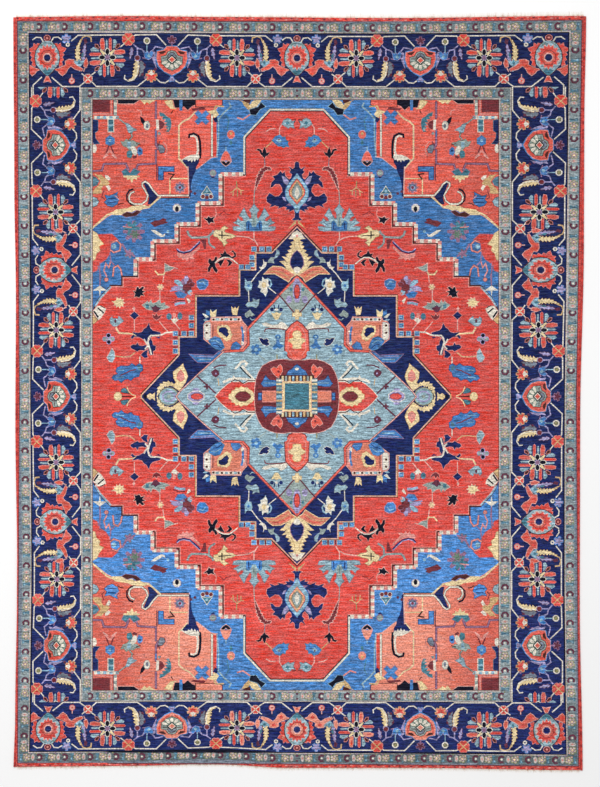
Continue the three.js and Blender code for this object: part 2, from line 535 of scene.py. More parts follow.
def band(inner, outer, dye):
    """A band's quarter: from one distance outside the field to another."""
    w, h = FIELD
    return ([([(-2, h + inner), (w + inner, h + inner), (w + inner, h + outer), (-2, h + outer)], dye)]
            + [([(w + inner, -2), (w + outer, -2), (w + outer, h + outer), (w + inner, h + outer)], dye)])


def on_top(shapes, offset):
    """Shapes read along the middle of a band, laid along the rug's end."""
    return placed(shapes, 0, FIELD[1] + offset)


def on_side(shapes, offset):
    """The same, laid along the rug's side."""
    return placed(shapes, FIELD[0] + offset, 0, swap=True)


print("half a guard stripe:", len(guard(FIELD[0], -2, 52)), "shapes")

# %% The whole border for one quarter
# Each large motif, how far along the side it lies in knots, and how far out of the middle.
TOP = [("pear", 0, 5), ("rosette", 120, 5), ("shield", 250, 1), ("rosette", 379, 5), ("pear", 501, 5)]
SIDE = [("shield", 0, 0), ("rosette", 133, 0), ("pear", 253, 3), ("rosette", 369, 0), ("shield", 503, 0),
        ("rosette", 633, 0)]
MOTIFS = {"pear": (pear_palmette, 1.0, 0.89), "rosette": (rosette, 0.9, 1.04),
          "shield": (shield_palmette, 1.06, 0.83)}


def join(kinds):
    """Palmettes, rosettes and the vines between them along one side."""
    shapes = []
    for (kind, spot, _), (next_kind, next_spot, _) in zip(kinds, kinds[1:]):
        if kind == "pear":
            shapes += placed(from_pear(), spot)
        elif kind == "rosette" and next_kind == "shield":
            shapes += placed(from_rosette(), spot)
        elif kind == "rosette" and next_kind == "pear":
            shapes += placed(from_pear(), next_spot, flip=True)
        elif kind == "shield":
            shapes += placed(from_rosette(), next_spot, flip=True)
    turned_round = kinds is SIDE
    for kind, spot, out in kinds:
        motif, size, tall = MOTIFS[kind]
        shapes += placed(motif(), spot, out, size=size, tall=tall,
                         flip=kind == "rosette" and turned_round)
        if kind == "rosette":
            turned_round = not turned_round
    return shapes


def clipped(shapes, limit):
    """Shapes whose every point keeps within a length along the side."""
    return [([(min(x, limit), y) for x, y in points], dye) for points, dye in shapes
            if min(x for x, y in points) < limit]


def border():
    """The border's quarter, from the field's edge to the red rows at the rim."""
    w, h = FIELD
    shapes = together(
        band(0, 1.2, "brown"), band(1.2, 3.5, "pearl"), band(3.5, 22.5, "fog"),
        band(22.5, 24, "pearl"), band(24, 25.5, "ink"), band(25.5, 129, "navy"),
        on_side(clipped(join(SIDE), h + 25.5), NAVY_MIDDLE),
        on_top([([(-2, -51.5), (w + 129, -51.5), (w + 129, 51.5), (-2, 51.5)], "navy")], NAVY_MIDDLE),
        on_top(clipped(join(TOP), w + 129), NAVY_MIDDLE),
        on_top(clipped(guard(w, -2, 52), w + 13), 13),
        on_side(clipped(guard(h, -6, 56), h + 4), 13),
        line(at(512,638, 530,622, 530,602), "ivory", 2.3),
        band(129, 131, "ink"), band(131, 133, "pearl"), band(133, 151.5, "fog"),
        on_top(clipped(guard(w + 140, -2, 52), w + 151), 142.2),
        on_side(clipped(guard(h + 140, -6, 58), h + 132), 142.2),
        band(151.5, 153, "grey"), band(153, 155, "maroon"), band(155, 162, "red"))
    for i in range(52):
        shapes += diamond(3.6, 1.5, ("rose", "maroon")[i % 2], x=11 * i,
                          y=h + 158.6 + 1.8 * math.sin(2.4 * i))
    return shapes


print("border:", len(border()), "shapes in a quarter")

# %% [markdown]
# ## The field
# The field is drawn as a weaver reads a cartoon: knots to the right and downwards from its
# upper left corner, as far as its middle. A stepped blue ground runs round the edge, with a
# coral piece in the corner, and red ground between it and the medallion.

# %% Stepped ground and corner
MIDDLE = (408, 592)
SPANDREL_EDGE = at(302,74, 302,148, 256,148, 256,208, 210,208, 210,250, 168,250, 168,284, 120,284,
    120,320, 88,320)
GROUND_EDGE = (at(408,18, 354,18, 302,70) + SPANDREL_EDGE[:-1]
               + at(88,320, 88,352, 58,352, 58,370, 36,370, 14,394, 4,412, -2,446))


def spandrels():
    """The blue ground round the field with its stepped edge, and the coral corner on it."""
    blue = at(-2,-2, 410,-2) + GROUND_EDGE
    shapes = together(
        [(blue, "blue")],
        line(at(408,21, 355,21, 305,75, 305,151), "brown", 2.4),
        line(at(408,18, 354,18, 302.5,73, 302.5,150), "ivory", 3.2, "steel", 0.8))
    steps = at(303,147, 258,147, 258,205, 212,205, 212,247, 170,247, 170,281, 122,281, 122,317, 88,317,
            88,350)
    inner = at(306,151, 262,151, 262,211, 216,211, 216,253, 174,253, 174,287, 126,287, 126,321)
    tail = at(126,321, 91,321, 91,354, 60,354, 60,372, 38,372, 16,396, 6,412, 0,440)
    shapes += together(
        line(inner + tail[1:], "rose", 3), line([(x - 2, y - 2) for x, y in inner], "brown", 3.4),
        line([(x - 2, y - 2) for x, y in tail], "brown", 3), line(at(36,372, 14,396, 4,412), "sky", 3),
        checks([(x - 3, y) for x, y in steps], 7.5, "ivory", "rose"))
    coral = at(-2,-2, 258,-2, 244,20, 248,112, 236,114, 208,136, 192,134, 192,194, 130,194, 112,214,
            40,226, 28,232, -2,256)
    shapes += patch(coral, "coral", "pink", 1.5)
    red_edge = at(-2,264, 10,268, 38,267, 50,278, 36,286, 34,306, 26,318, 14,326, 8,340, -2,344)
    return shapes + patch(red_edge, "red", "mauve", 1.2)


print("stepped ground:", len(spandrels()), "shapes")

# %% Scrolls and the half star at the edge
def hooks():
    """The thick ivory scrolls with dark backs."""
    return together(
        patch(at(178,120, 188,114, 213,112, 212,124, 207,132, 205,142, 200,152, 196,168, 196,190,
            191,194, 191,136), "navy"),
        line(at(192,75, 193,68, 202,66, 211,71, 214,82, 215,100, 214,116), "ink", 4, end=5),
        line(at(195,72, 201,70, 207,74, 209,84, 210,100, 207,112), "ivory", 3, end=4.6),
        saw(at(213,112, 182,117), 9, "ivory", 5, one_side=True),
        line(at(212,109, 196,110, 186,114, 177,120), "ivory", 3.4, end=2),
        line(at(190,132, 192,192), "pink", 2.4), line(at(195,140, 194,192), "navy", 3),
        patch(at(102,166, 108,165, 114,174, 122,184, 131,191, 124,199, 116,207, 110,207, 113,194,
            109,182), "navy", "ink", 0.6),
        line(at(81,177, 73,180, 68,188, 68,199, 76,208, 86,211), "ink", 4.2, end=2),
        line(at(83,182, 76,185, 72,193, 74,202, 82,207, 98,207, 107,200, 110,190, 104,179, 99,171,
            99,165, 105,162, 112,167, 120,179, 130,190, 192,190), "ivory", 3, "ink", 0.8),
        line(at(130,195, 192,195), "ink", 2.2),
        line(at(-2,256, 28,229, 42,223, 64,221, 112,213, 136,192), "cream", 3.2),
        patch(at(36,226, 46,218, 70,215, 78,211, 104,209, 112,213, 100,217, 93,221, 86,218, 78,224,
            68,221, 60,229, 40,229), "cream"),
        patch(at(58,229, 68,223, 79,226, 88,220, 96,222, 86,230, 66,233), "brown", "mauve", 1))


def edge_star():
    """The large tan half star that grows out of the guard stripe, and its flowers."""
    return together(
        patch(at(2,145, 10,149, 17,148, 22,154, 28,157, 34,166, 27,171, 22,169, 17,176, 18,185, 8,187,
            -2,186, 4,176, 11,170, 16,162, 10,154), "tan", "coral", 1),
        patch(at(-2,152, 6,154, 12,161, 8,169, -2,172), "steel", "grey", 1),
        patch(at(24,149, 30,150, 36,156, 32,160, 25,155), "ivory"),
        patch(at(26,171, 32,169, 36,176, 32,181), "ivory"),
        line(at(22,180, 18,193, 24,198), "maroon", 1.8),
        patch(at(24,189, 33,191, 42,187, 50,183, 48,189, 52,198, 49,207, 39,213, 29,210, 23,203,
            28,198), "blue", "brown", 0.9),
        line(at(30,196, 46,196), "navy", 1.6), line(at(29,204, 46,203), "navy", 1.6),
        line(at(44,190, 53,198), "rose", 1.6),
        patch(at(-2,192, 7,195, 12,202, 8,210, -2,214), "mist", "maroon", 1.1),
        line(at(49,210, 55,206, 62,205), "brown", 2))


print("scrolls:", len(hooks()), "shapes")

# %% The coral corner piece
def plant():
    """A teal plant with split leaves on a thin stem."""
    return together(
        line(at(48,33, 58,41, 67,48), "sage", 2.2, "maroon", 0.6),
        patch(at(65,45, 72,47, 76,52, 88,59, 80,61, 78,66, 71,63, 69,56), "mist", "grey", 1),
        line(at(76,64, 79,72, 73,79), "sage", 2, "brown", 0.7),
        patch(at(56,82, 62,83, 67,77, 73,81, 80,80, 86,84, 94,85, 88,91, 78,92, 74,100, 68,93, 61,91),
            "sage", "green", 0.9),
        patch(at(68,83, 76,83, 75,94, 70,93), "sky"), line(at(86,86, 96,89), "brown", 1.8),
        patch(at(70,101, 78,100, 79,108, 76,115, 69,113, 68,106), "teal", "green", 0.8),
        patch(at(75,94, 80,90, 86,95, 90,104, 85,111, 79,105), "ivory"),
        patch(at(90,95, 94,93, 99,98, 99,107, 92,110, 89,104), "blue", "mauve", 0.9),
        disc(2.4, "navy", x=94, y=100),
        patch(at(78,112, 87,109, 89,113, 82,117), "maroon"))


def corner():
    """The coral corner piece with its boxes, hooks and stiff little plants."""
    return together(
        box(-2, -2, 34, 23, "maroon"), line(at(37,-2, 37,27, -2,27), "rose", 2.6),
        line(at(41,-2, 41,28), "plum", 1.4),
        checks(at(45,-2, 45,30), 6, "sage", "ivory"),
        checks(at(2,34, 52,34), 6.6, "ivory", "sky"),
        patch(at(50,-2, 94,-2, 82,6, 50,6), "ink", "pink", 1.4),
        patch(at(94,-2, 128,-2, 118,3, 113,7, 108,3, 103,8, 99,3), "cream"),
        patch(at(144,2, 158,-2, 160,10, 167,17, 156,16, 148,8), "cream", "tan", 1),
        patch(at(160,-2, 206,-2, 206,8, 198,11, 190,19, 182,12, 174,14, 164,14), "ink", "rose", 1.4),
        box(173, -2, 179, 20, "blue"), line(at(160,20, 156,26), "brown", 2),
        patch(at(0,38, 10,40, 10,60, 4,64, 5,76, 13,86, 3,87, -2,80), "navy", "steel", 1),
        disc(5, "ivory", x=3, y=96, tall=9), box(31, 38, 41, 62, "teal", "ivory", 1.6),
        box(31, 47, 41, 51, "sky"), diamond(3, 6, "rose", x=36, y=68),
        placed(both(line(at(1,2, 9,24), "maroon", 3)), 34, 86),
        patch(at(26,76, 34,70, 43,76, 43,86, 34,90, 26,86), "blue", "steel", 1),
        disc(3, "sky", x=34, y=80),
        placed(both(line(at(0,0, 12,14), "rose", 4) + line(at(4,9, 14,16), "pink", 2)), 34, 100),
        plant(),
        patch(at(94,31, 100,35, 107,45, 102,51, 96,42), "ink"),
        disc(6, "ivory", "sage", 1, x=108, y=50, tall=9),
        disc(3, "grey", x=108.6, y=51, tall=5), line(at(88,18, 96,21, 97,30), "rose", 2.6),
        line(at(126,2, 126,36), "mauve", 3.4, "plum", 0.8),
        line(at(126,57, 126,88, 131,98), "mauve", 3.4, "plum", 0.8),
        patch(at(126,38, 133,38, 132,59, 127,59), "ivory"), line(at(126,61, 126,72), "blue", 2.4),
        patch(at(132,39, 138,41, 144,47, 139,56, 133,58), "maroon", "rose", 0.8),
        patch(at(133,23, 142,26, 147,31, 155,36, 157,45, 156,54, 152,63, 146,62, 150,57, 145,55, 150,51,
            144,49, 149,44, 142,43, 146,38, 138,37, 141,32, 134,31), "teal", "rose", 0.8),
        line(at(151,54, 150,61), "sage", 2.4), disc(2.6, "sage", x=132, y=66),
        line(at(132,62, 136,68), "grey", 2),
        patch(at(130,87, 139,90, 144,97, 142,104, 135,105, 132,99), "grey", "plum", 1.2),
        line(at(140,82, 147,90, 148,102, 144,110), "rose", 2.4), line(at(134,81, 131,90), "plum", 1.8),
        line(at(-2,141, 18,140, 22,127, 66,126, 72,140), "mauve", 3, "plum", 0.9),
        line(at(86,140, 90,128, 126,126, 126,98), "mauve", 3, "plum", 0.9),
        patch(at(58,142, 66,136, 74,146, 82,136, 94,142, 86,150, 62,150), "teal", "mauve", 1.2),
        patch(at(60,150, 92,150, 94,153, 88,154, 88,159, 82,156, 78,165, 74,157, 68,159, 68,154,
            62,154), "cream"),
        line(at(206,22, 192,36, 180,42, 172,50, 172,116, 180,124, 192,138), "cream", 2.6, "rose", 0.9),
        line(at(190,156, 154,156, 154,190), "cream", 2.4),
        placed(petals(8, 11, "mauve", "rose", 0.7), 174, 174),
        disc(8, "steel", x=174, y=174, tall=7), disc(5, "lavender", x=174, y=174),
        disc(3, "maroon", x=174, y=174), line(at(128,128, 128,160), "plum", 2.4),
        line(at(136,158, 136,137, 162,137), "blue", 9, "navy", 1.4),
        line(at(150,146, 162,148, 154,158), "brown", 3),
        hooks(), edge_star())


print("corner piece:", len(corner()), "shapes")

# %% Flowers on the blue ground
def red_loops():
    """Thin red tendrils on the blue ground."""
    ring = at(38,284, 48,280, 56,288, 54,300, 42,304, 34,298)
    return together(
        line(at(36,320, 32,334, 26,326, 22,340, 28,352), "rose", 2.6),
        line(ring, "rose", 2.6, "maroon", 0.6),
        line(at(40,352, 42,334, 50,330, 56,338, 58,350), "rose", 2.6, "maroon", 0.6),
        line(at(34,304, 36,322, 44,330), "mauve", 2.4), disc(4, "rose", "maroon", 0.8, x=27, y=358),
        line(at(10,330, 16,350, 14,372), "mauve", 2), disc(5, "sky", x=42, y=292))


def spandrel_flowers():
    """The flowers, boxes and tendrils on the blue ground."""
    return together(
        patch(at(206,-2, 258,-2, 258,8, 246,12, 206,12), "coral", "brown", 1.6),
        patch(at(196,16, 222,13, 226,18, 200,20), "maroon"),
        placed(petals(4, 16, "blue", "mauve", 0.4, start=45), 218, 34),
        patch(at(228,22, 236,20, 246,18, 252,28, 244,36, 238,28), "cream"),
        line(at(242,18, 246,11, 262,12), "tan", 3), line(at(244,40, 244,110), "red", 6),
        line(at(238,28, 238,112), "ivory", 3.4, "brown", 0.8),
        line(at(251,34, 251,78, 248,112), "sky", 3), patch(at(240,36, 248,32, 250,42, 244,44), "navy"),
        line(at(252,36, 262,24, 276,12, 272,4), "mist", 3),
        patch(at(290,-2, 298,2, 302,10, 312,20, 319,26, 318,14, 310,4), "tan"),
        patch(at(298,-2, 316,-2, 314,6, 304,3), "brown"),
        patch(at(312,12, 318,2, 326,-2, 338,-2, 328,12, 318,16), "cream"),
        patch(at(313,18, 320,16, 330,13, 336,4, 345,12, 334,18, 326,29, 315,28), "ink", "sky", 1),
        line(at(314,28, 300,38, 288,34), "rose", 3), line(at(268,60, 272,40, 266,30), "teal", 2),
        disc(7, "coral", "rose", 1.2, x=276, y=68, tall=8), disc(3, "tan", x=276, y=66),
        disc(3, "teal", x=276, y=84, tall=5),
        patch(at(266,100, 260,108, 256,119, 276,119, 272,108), "coral", "rose", 1.2),
        line(at(266,92, 266,102), "sky", 2),
        patch(at(256,122, 262,121, 266,125, 270,121, 276,122, 272,127, 266,131, 260,127), "ink", "pink",
            1.2),
        disc(6, "sage", "mauve", 1.4, x=240, y=145), patch(at(234,152, 246,152, 240,156), "navy"),
        patch(at(228,172, 233,180, 238,186, 218,186, 223,180), "teal", "ivory", 1.2),
        disc(3, "sky", x=228, y=181), disc(4, "maroon", "ivory", 1, x=220, y=192),
        disc(4, "maroon", "ivory", 1, x=236, y=192), disc(4, "maroon", x=228, y=194),
        disc(8, "ivory", "lavender", 1.2, x=168, y=215), disc(4, "ink", x=168, y=217, tall=6),
        disc(3, "plum", x=204, y=186), disc(3, "plum", x=196, y=182),
        patch(at(116,245, 124,241, 134,240, 140,236, 146,238, 144,242, 150,244, 134,248, 124,252),
            "maroon", "plum", 1),
        patch(at(116,259, 124,259, 134,265, 140,269, 145,266, 143,272, 136,273, 124,266), "ivory"),
        disc(3, "sky", x=150, y=262), placed(petals(8, 22, "mauve", "blue", 0.55), 82, 262),
        placed(petals(6, 16, "teal", None, 0.5), 78, 256),
        placed(petals(6, 9, "green", "mauve", 0.5), 84, 268),
        placed(petals(5, 9, "mauve", "teal", 0.5), 72, 306), line(at(60,252, 78,254), "rose", 2),
        line(at(58,286, 66,300, 84,312), "mauve", 4),
        red_loops(),
        patch(at(-2,260, 8,266, 12,276, 21,287, 12,291, 14,300, 7,306, 4,318, -2,320), "cream", "tan",
            1),
        line(at(14,324, 14,376), "mauve", 2),
        patch(at(14,370, 28,380, 16,380, 14,392, 12,380, 0,380), "ivory"))


print("flowers on the blue ground:", len(spandrel_flowers()), "shapes")

# %% [markdown]
# The red ground carries loose flowers, each on a thin stem: a dark palmette with curled arms
# on the rug's middle line, a pale fan, a black saw-edged leaf, and smaller blooms.

# %% The dark palmette with curled arms
def volute_palmette():
    """The dark palmette with curled arms at the top of the field. Only its left half is drawn."""
    return together(
        patch(at(408,122, 404,124, 403,134, 399,137, 391,131, 396,139, 393,143, 398,148, 396,155,
            392,158, 385,151, 383,142, 379,146, 375,141, 369,148, 359,152, 364,157, 357,164, 355,174,
            359,173, 365,167, 373,167, 378,174, 379,182, 372,191, 364,192, 353,185, 347,194, 348,203,
            357,208, 353,214, 364,210, 372,212, 370,216, 382,212, 388,214, 385,218, 393,218, 391,223,
            402,218, 404,226, 403,234, 398,238, 403,240, 408,239), "navy", "rose", 1.2),
        patch(at(408,146, 399,158, 390,169, 385,180, 386,194, 394,206, 402,212, 405,222, 408,224),
            "sky", "blue", 1.4),
        patch(at(378,151, 384,153, 392,162, 388,169, 382,164), "lavender", "grey", 0.8),
        patch(at(378,192, 384,194, 387,202, 381,199), "lavender"),
        patch(at(386,210, 393,205, 398,211), "mauve"),
        patch(at(408,156, 398,169, 392,180, 393,189, 408,208), "coral", "maroon", 1),
        patch(at(408,159, 400,170, 394,181, 395,188, 408,204), "tan"),
        patch(at(408,164, 401,174, 398,182, 399,190, 408,199), "sage", "maroon", 1),
        patch(at(408,171, 404,179, 403,188, 408,196), "ivory", "mist", 1))


print("dark palmette:", len(volute_palmette()), "shapes")

# %% Flowers on the upper red ground
def fan():
    """A pale blue palmette whose petals open like a hand."""
    half = at(322,208, 318,214, 313,219, 317,224, 318,234, 314,238, 308,229, 302,216, 297,224, 293,230,
            299,233, 303,241, 296,242, 290,236, 288,241, 282,244, 290,248, 296,253, 288,252, 280,253,
            282,259, 292,261, 306,260, 322,261)
    other = [(644.8 - x, y) for x, y in reversed(half)]
    shapes = together(
        patch(half + other, "mist", "grey", 1.2),
        patch(at(307,260, 306,244, 311,240, 316,246, 318,253, 326,253, 329,246, 334,240, 338,244,
            338,260), "blue", "teal", 0.6),
        box(318.6, 226, 326, 250, "sage"), line(at(322,234, 322,250), "teal", 1.4),
        line(at(312,244, 311,258), "navy", 2),
        line(at(333,244, 334,258), "navy", 2))
    veins = together(
        line(at(304,222, 310,232), "grey", 1.4), line(at(290,243, 300,250), "teal", 1.4),
        line(at(288,256, 302,257), "sky", 2))
    return together(
        shapes, veins, [([(644.8 - x, y) for x, y in points], dye) for points, dye in veins])


def black_leaf():
    """The black saw-edged leaf on its ivory stalk."""
    return together(
        patch(at(231,319, 234,316, 238,321, 242,319, 245,312, 249,314, 247,321, 244,326, 245,332,
            250,340, 247,345, 242,340, 239,333, 236,335, 234,342, 230,343, 230,335, 234,328, 231,324),
            "ink", "rose", 1),
        patch(at(250,317, 257,311, 254,306, 260,307, 264,299, 267,306, 272,308, 278,313, 283,310,
            281,304, 276,302, 280,300, 286,306, 286,312, 280,316, 270,313, 260,314, 252,320), "ink",
            "rose", 1),
        patch(at(248,325, 254,320, 263,317, 260,324, 255,332, 252,326), "ink", "rose", 1),
        patch(at(266,317, 274,319, 279,324, 274,330, 269,331, 272,325), "ink", "rose", 1),
        line(at(244,325, 252,318, 262,314, 272,314, 280,319, 290,327), "ivory", 2.4))


def field_flowers():
    """Flowers scattered on the red ground between the spandrel and the medallion."""
    return together(
        line(at(373,70, 373,55, 378,47), "pink", 2.2), line(at(359,81, 345,95), "tan", 2),
        patch(at(378,47, 382,39, 389,36, 395,38, 397,42, 404,41, 400,47, 402,55, 394,52, 391,55,
            384,51), "mist", "grey", 1.2),
        patch(at(385,44, 390,41, 394,46, 388,49), "teal"),
        line(at(397,38, 405,38, 402,45), "brown", 1.4),
        patch(at(359,80, 365,72, 374,69, 379,74, 384,73, 385,79, 390,82, 389,87, 391,92, 385,91, 381,94,
            377,91, 371,91, 364,85), "blue", "teal", 1.2),
        patch(at(365,79, 373,75, 378,82, 373,85), "sky"), disc(1.8, "maroon", x=372, y=78),
        line(at(348,51, 358,52), "maroon", 1.6), line(at(346,62, 354,57, 365,56), "pink", 2.2),
        patch(at(326,99, 330,96, 336,98, 339,105, 340,99, 343,93, 346,100, 347,105, 354,103, 350,109,
            345,112, 343,116, 340,112, 335,107, 333,101), "ink", "rose", 1),
        line(at(343,117, 344,130), "grey", 1.8),
        saw(at(356,138, 348,134, 340,139, 334,149, 329,162, 324,179), 5, "maroon", 9, "pink", 1.4),
        line(at(323,180, 322,198, 322,210), "sage", 1.8), line(at(287,161, 288,174), "olive", 2),
        line(at(288,174, 281,180, 280,191), "tan", 2), line(at(288,174, 296,180, 296,189), "tan", 2),
        line(at(281,181, 275,184), "tan", 1.6),
        line(at(296,180, 302,180), "tan", 1.6), line(at(289,178, 289,192), "olive", 1.8),
        patch(at(221,235, 228,236, 231,232, 236,235, 244,232, 240,238, 242,244, 236,243, 232,247,
            229,241), "ink", "pink", 1.4),
        line(at(245,216, 247,227, 244,235), "rose", 2.2),
        line(at(252,230, 262,221, 266,226, 276,229), "maroon", 1.4),
        fan(), line(at(322,262, 322,277, 330,290), "pink", 2.4),
        line(at(284,271, 300,272, 312,274, 322,280), "pink", 2.2),
        patch(at(241,263, 246,259, 254,260, 258,255, 263,251, 270,255, 264,258, 262,262, 266,265,
            276,267, 286,271, 278,275, 268,276, 264,280, 269,284, 262,291, 259,283, 254,279, 249,273,
            242,271), "cream", "olive", 0.9),
        line(at(251,269, 262,270, 277,271), "ink", 2.4, end=1.4),
        line(at(258,261, 258,276), "ink", 2.4),
        line(at(189,261, 192,269, 198,274, 214,274, 229,273, 238,266, 241,261), "sage", 2.8, "grey",
            0.9),
        line(at(232,273, 232,284, 236,290, 244,295), "sage", 2.4, "grey", 0.8),
        patch(at(214,277, 227,278, 226,297, 222,297, 219,286), "maroon"),
        patch(at(214,290, 200,302, 184,308, 169,303, 168,309, 172,315, 177,314, 180,320, 184,316,
            188,321, 192,315, 196,317, 204,317, 199,311, 206,303, 214,296), "rose"),
        line(at(214,283, 206,292, 194,302, 182,305, 172,303, 167,297), "navy", 4, end=2.6),
        line(at(214,281, 205,290, 194,300, 182,303, 174,301, 168,296), "lavender", 2),
        black_leaf())


print("upper flowers:", len(field_flowers()), "shapes")

# %% Flowers beside the medallion
def lobed_flower():
    """A large open flower of ragged petals beside the medallion."""
    shapes = []
    for angle, reach, dye in ((-150, 27, "sky"), (-118, 17, "mauve"), (-92, 22, "lavender"),
                              (-62, 17, "maroon"), (-30, 16, "maroon"), (176, 30, "lavender"),
                              (150, 17, "sky"), (122, 16, "blue"), (90, 12, "maroon"), (60, 16, "sky")):
        petal = patch([(3, -2), (reach * 0.6, -5), (reach, -3.4), (reach + 1.6, 1), (reach * 0.8, 4.6),
                (reach * 0.4, 3)], dye, "mauve", 0.8)
        shapes += placed(petal, 188, 374, angle)
    return shapes + together(
        patch(at(208,362, 214,358, 222,357, 230,361, 230,369, 224,377, 214,378, 209,372), "blue",
            "lavender", 1.2),
        line(at(212,364, 220,362, 225,368), "sky", 2),
        disc(8, "maroon", "plum", 1.4, x=188, y=374, tall=7, sides=6),
        line(at(154,381, 166,379, 182,382), "lavender", 3),
        patch(at(164,384, 174,381, 188,388, 182,395, 170,394), "blue", "mauve", 1),
        line(at(160,404, 170,400, 184,400), "maroon", 2.4),
        line(at(164,408, 174,405, 184,405), "sky", 3.6, "lavender", 1),
        patch(at(187,394, 192,397, 196,401, 192,406, 189,401), "ivory"),
        disc(3, "rose", x=197, y=386))


def arabesque():
    """The navy split arabesque with ivory stalks."""
    return together(
        patch(at(80,463, 90,465, 98,463, 102,457, 107,454, 112,445, 115,455, 120,460, 128,462, 135,464,
            136,468, 124,469, 117,473, 114,480, 107,487, 101,478, 92,473, 84,472, 78,477, 76,473,
            81,468), "navy", "rose", 1.1),
        patch(at(124,473, 136,472, 132,476), "navy"),
        patch(at(75,492, 80,488, 86,489, 89,484, 92,490, 99,491, 106,489, 110,495, 102,500, 93,499,
            89,502, 82,498, 77,496), "navy", "rose", 1.1),
        patch(at(115,475, 119,482, 120,489, 126,491, 125,499, 120,502, 121,508, 114,509, 111,500,
            110,486), "navy", "rose", 1.1),
        patch(at(110,498, 108,507, 110,514, 103,515, 96,509, 101,503), "navy", "rose", 1.1),
        line(at(72,466, 81,467, 87,471), "cream", 3, end=1),
        line(at(160,463, 147,464, 139,468, 130,470, 116,470, 112,474, 110,482, 112,491, 115,500,
            117,508), "ivory", 3),
        line(at(102,477, 108,486, 113,494), "ivory", 2.6),
        line(at(112,489, 104,497), "ivory", 2.6))


def lower_flowers():
    """Flowers on the red ground towards the rug's middle line."""
    shapes = together(
        patch(at(37,401, 42,402, 47,400, 48,394, 52,397, 56,394, 56,398, 62,398, 59,402, 64,405, 60,407,
            61,412, 56,410, 54,415, 51,411, 47,414, 47,409, 42,410, 44,406), "cream", "pink", 0.7),
        patch(at(81,381, 86,382, 87,375, 90,372, 93,377, 99,372, 103,374, 98,380, 105,382, 99,385,
            103,391, 96,389, 93,394, 87,392, 83,393, 85,386), "ink", "pink", 1),
        patch(at(9,411, 18,411, 26,416, 24,423, 16,435, 11,439, 4,429, 0,422), "ivory", "rose", 1),
        line(at(2,421, 11,434), "ink", 3.4), line(at(10,415, 22,425), "ink", 2.8),
        line(at(15,410, 24,415), "ink", 1.8),
        patch(at(-2,424, 2,430, 10,439, 4,445, -2,448), "tan", "brown", 0.8),
        patch(at(34,437, 38,433, 40,437, 45,436, 50,438, 52,432, 56,435, 61,441, 54,446, 48,451, 41,451,
            36,446), "mist", "grey", 1.1),
        disc(2.4, "plum", x=45, y=441, tall=4),
        line(at(46,454, 52,465, 72,466), "cream", 2.8, "rose", 0.7),
        diamond(9, 8, "navy", "rose", 1.2, x=83, y=430), line(at(83,438, 83,460), "pink", 2),
        diamond(3, 5, "pink", x=82, y=416),
        patch(at(98,409, 105,405, 109,401, 112,405, 116,399, 119,406, 126,404, 130,401, 134,398,
            136,406, 144,404, 144,409, 154,413, 144,417, 134,419, 114,419, 107,417), "sage", "pink",
            0.8),
        patch(at(105,407, 112,408, 112,416, 106,415), "teal"),
        patch(at(116,412, 121,414, 125,410, 130,414, 135,415, 128,422, 122,422), "plum", "navy", 0.8),
        line(at(134,378, 134,400), "pink", 2), placed(petals(6, 6, "cream", "rose", 0.4), 135, 373),
        line(at(124,340, 130,348, 142,348, 144,342), "cream", 2.8),
        line(at(142,348, 140,364), "pink", 2),
        patch(at(144,326, 154,332, 164,334, 154,340, 144,342), "sage", "pink", 1.2),
        line(at(162,334, 170,336), "pink", 2),
        patch(at(119,427, 124,431, 127,426, 130,432, 138,428, 134,435, 127,439, 121,435), "maroon",
            "rose", 1),
        disc(5, "teal", "mauve", 1, x=152.4, y=432, tall=6.4),
        disc(4.6, "teal", "mauve", 1, x=174, y=431, tall=7),
        patch(at(156,437, 160,438, 162,434, 164,436, 168,434, 168,438, 172,438, 166,443, 163,446,
            159,442), "ivory", "pink", 0.6),
        box(159.4, 425, 166, 434, "rose"), line(at(164,445, 174,458), "pink", 2),
        line(at(133,442, 140,451, 150,462), "pink", 2), lobed_flower(), arabesque())
    for x, y, dye in ((31.4, 470, "ink"), (32, 483, "ink"), (24, 477, "sage"), (39, 477, "sage")):
        shapes += disc(3.8, dye, "lavender", 1.4, x=x, y=y)
    return shapes + together(
        disc(2.4, "mist", x=31.6, y=476.5),
        patch(at(38,496, 43,503, 44,514, 39,523, 33,522, 28,514, 33,506), "mist", "pink", 1),
        line(at(45,511, 60,513, 74,512, 84,504), "tan", 1.8, "rose", 0.5),
        line(at(94,512, 94,528), "ivory", 2.2),
        patch(at(99,530, 93,526, 86,531, 78,526, 72,531, 65,531, 56,531, 48,535, 46,542, 51,547, 41,550,
            38,555, 44,560, 51,559, 57,564, 63,558, 70,557, 76,560, 82,554, 92,552, 94,544, 100,539),
            "blue", "navy", 0.9),
        line(at(55,550, 66,545, 76,540, 86,538), "maroon", 2.2),
        patch(at(88,530, 96,532, 96,542, 90,538), "steel"),
        line(at(50,540, 62,539), "sky", 1.6), line(at(46,555, 62,553), "sky", 1.6),
        patch(at(56,583, 58,577, 64,575, 68,579, 72,586, 64,585), "teal", "brown", 1),
        line(at(68,572, 71,581, 78,588, 86,591), "cream", 1.8),
        line(at(56,592, 80,592), "brown", 3.2, end=1.6),
        disc(7.6, "cream", "tan", 1, x=50, y=592, tall=8.4))


print("lower flowers:", len(lower_flowers()), "shapes")

# %% [markdown]
# ## The medallion
# A navy medallion with a stepped rim holds a pale blue one, and that holds the maroon middle
# with its framed square. Only a quarter is drawn, so shapes on a middle line run past it.

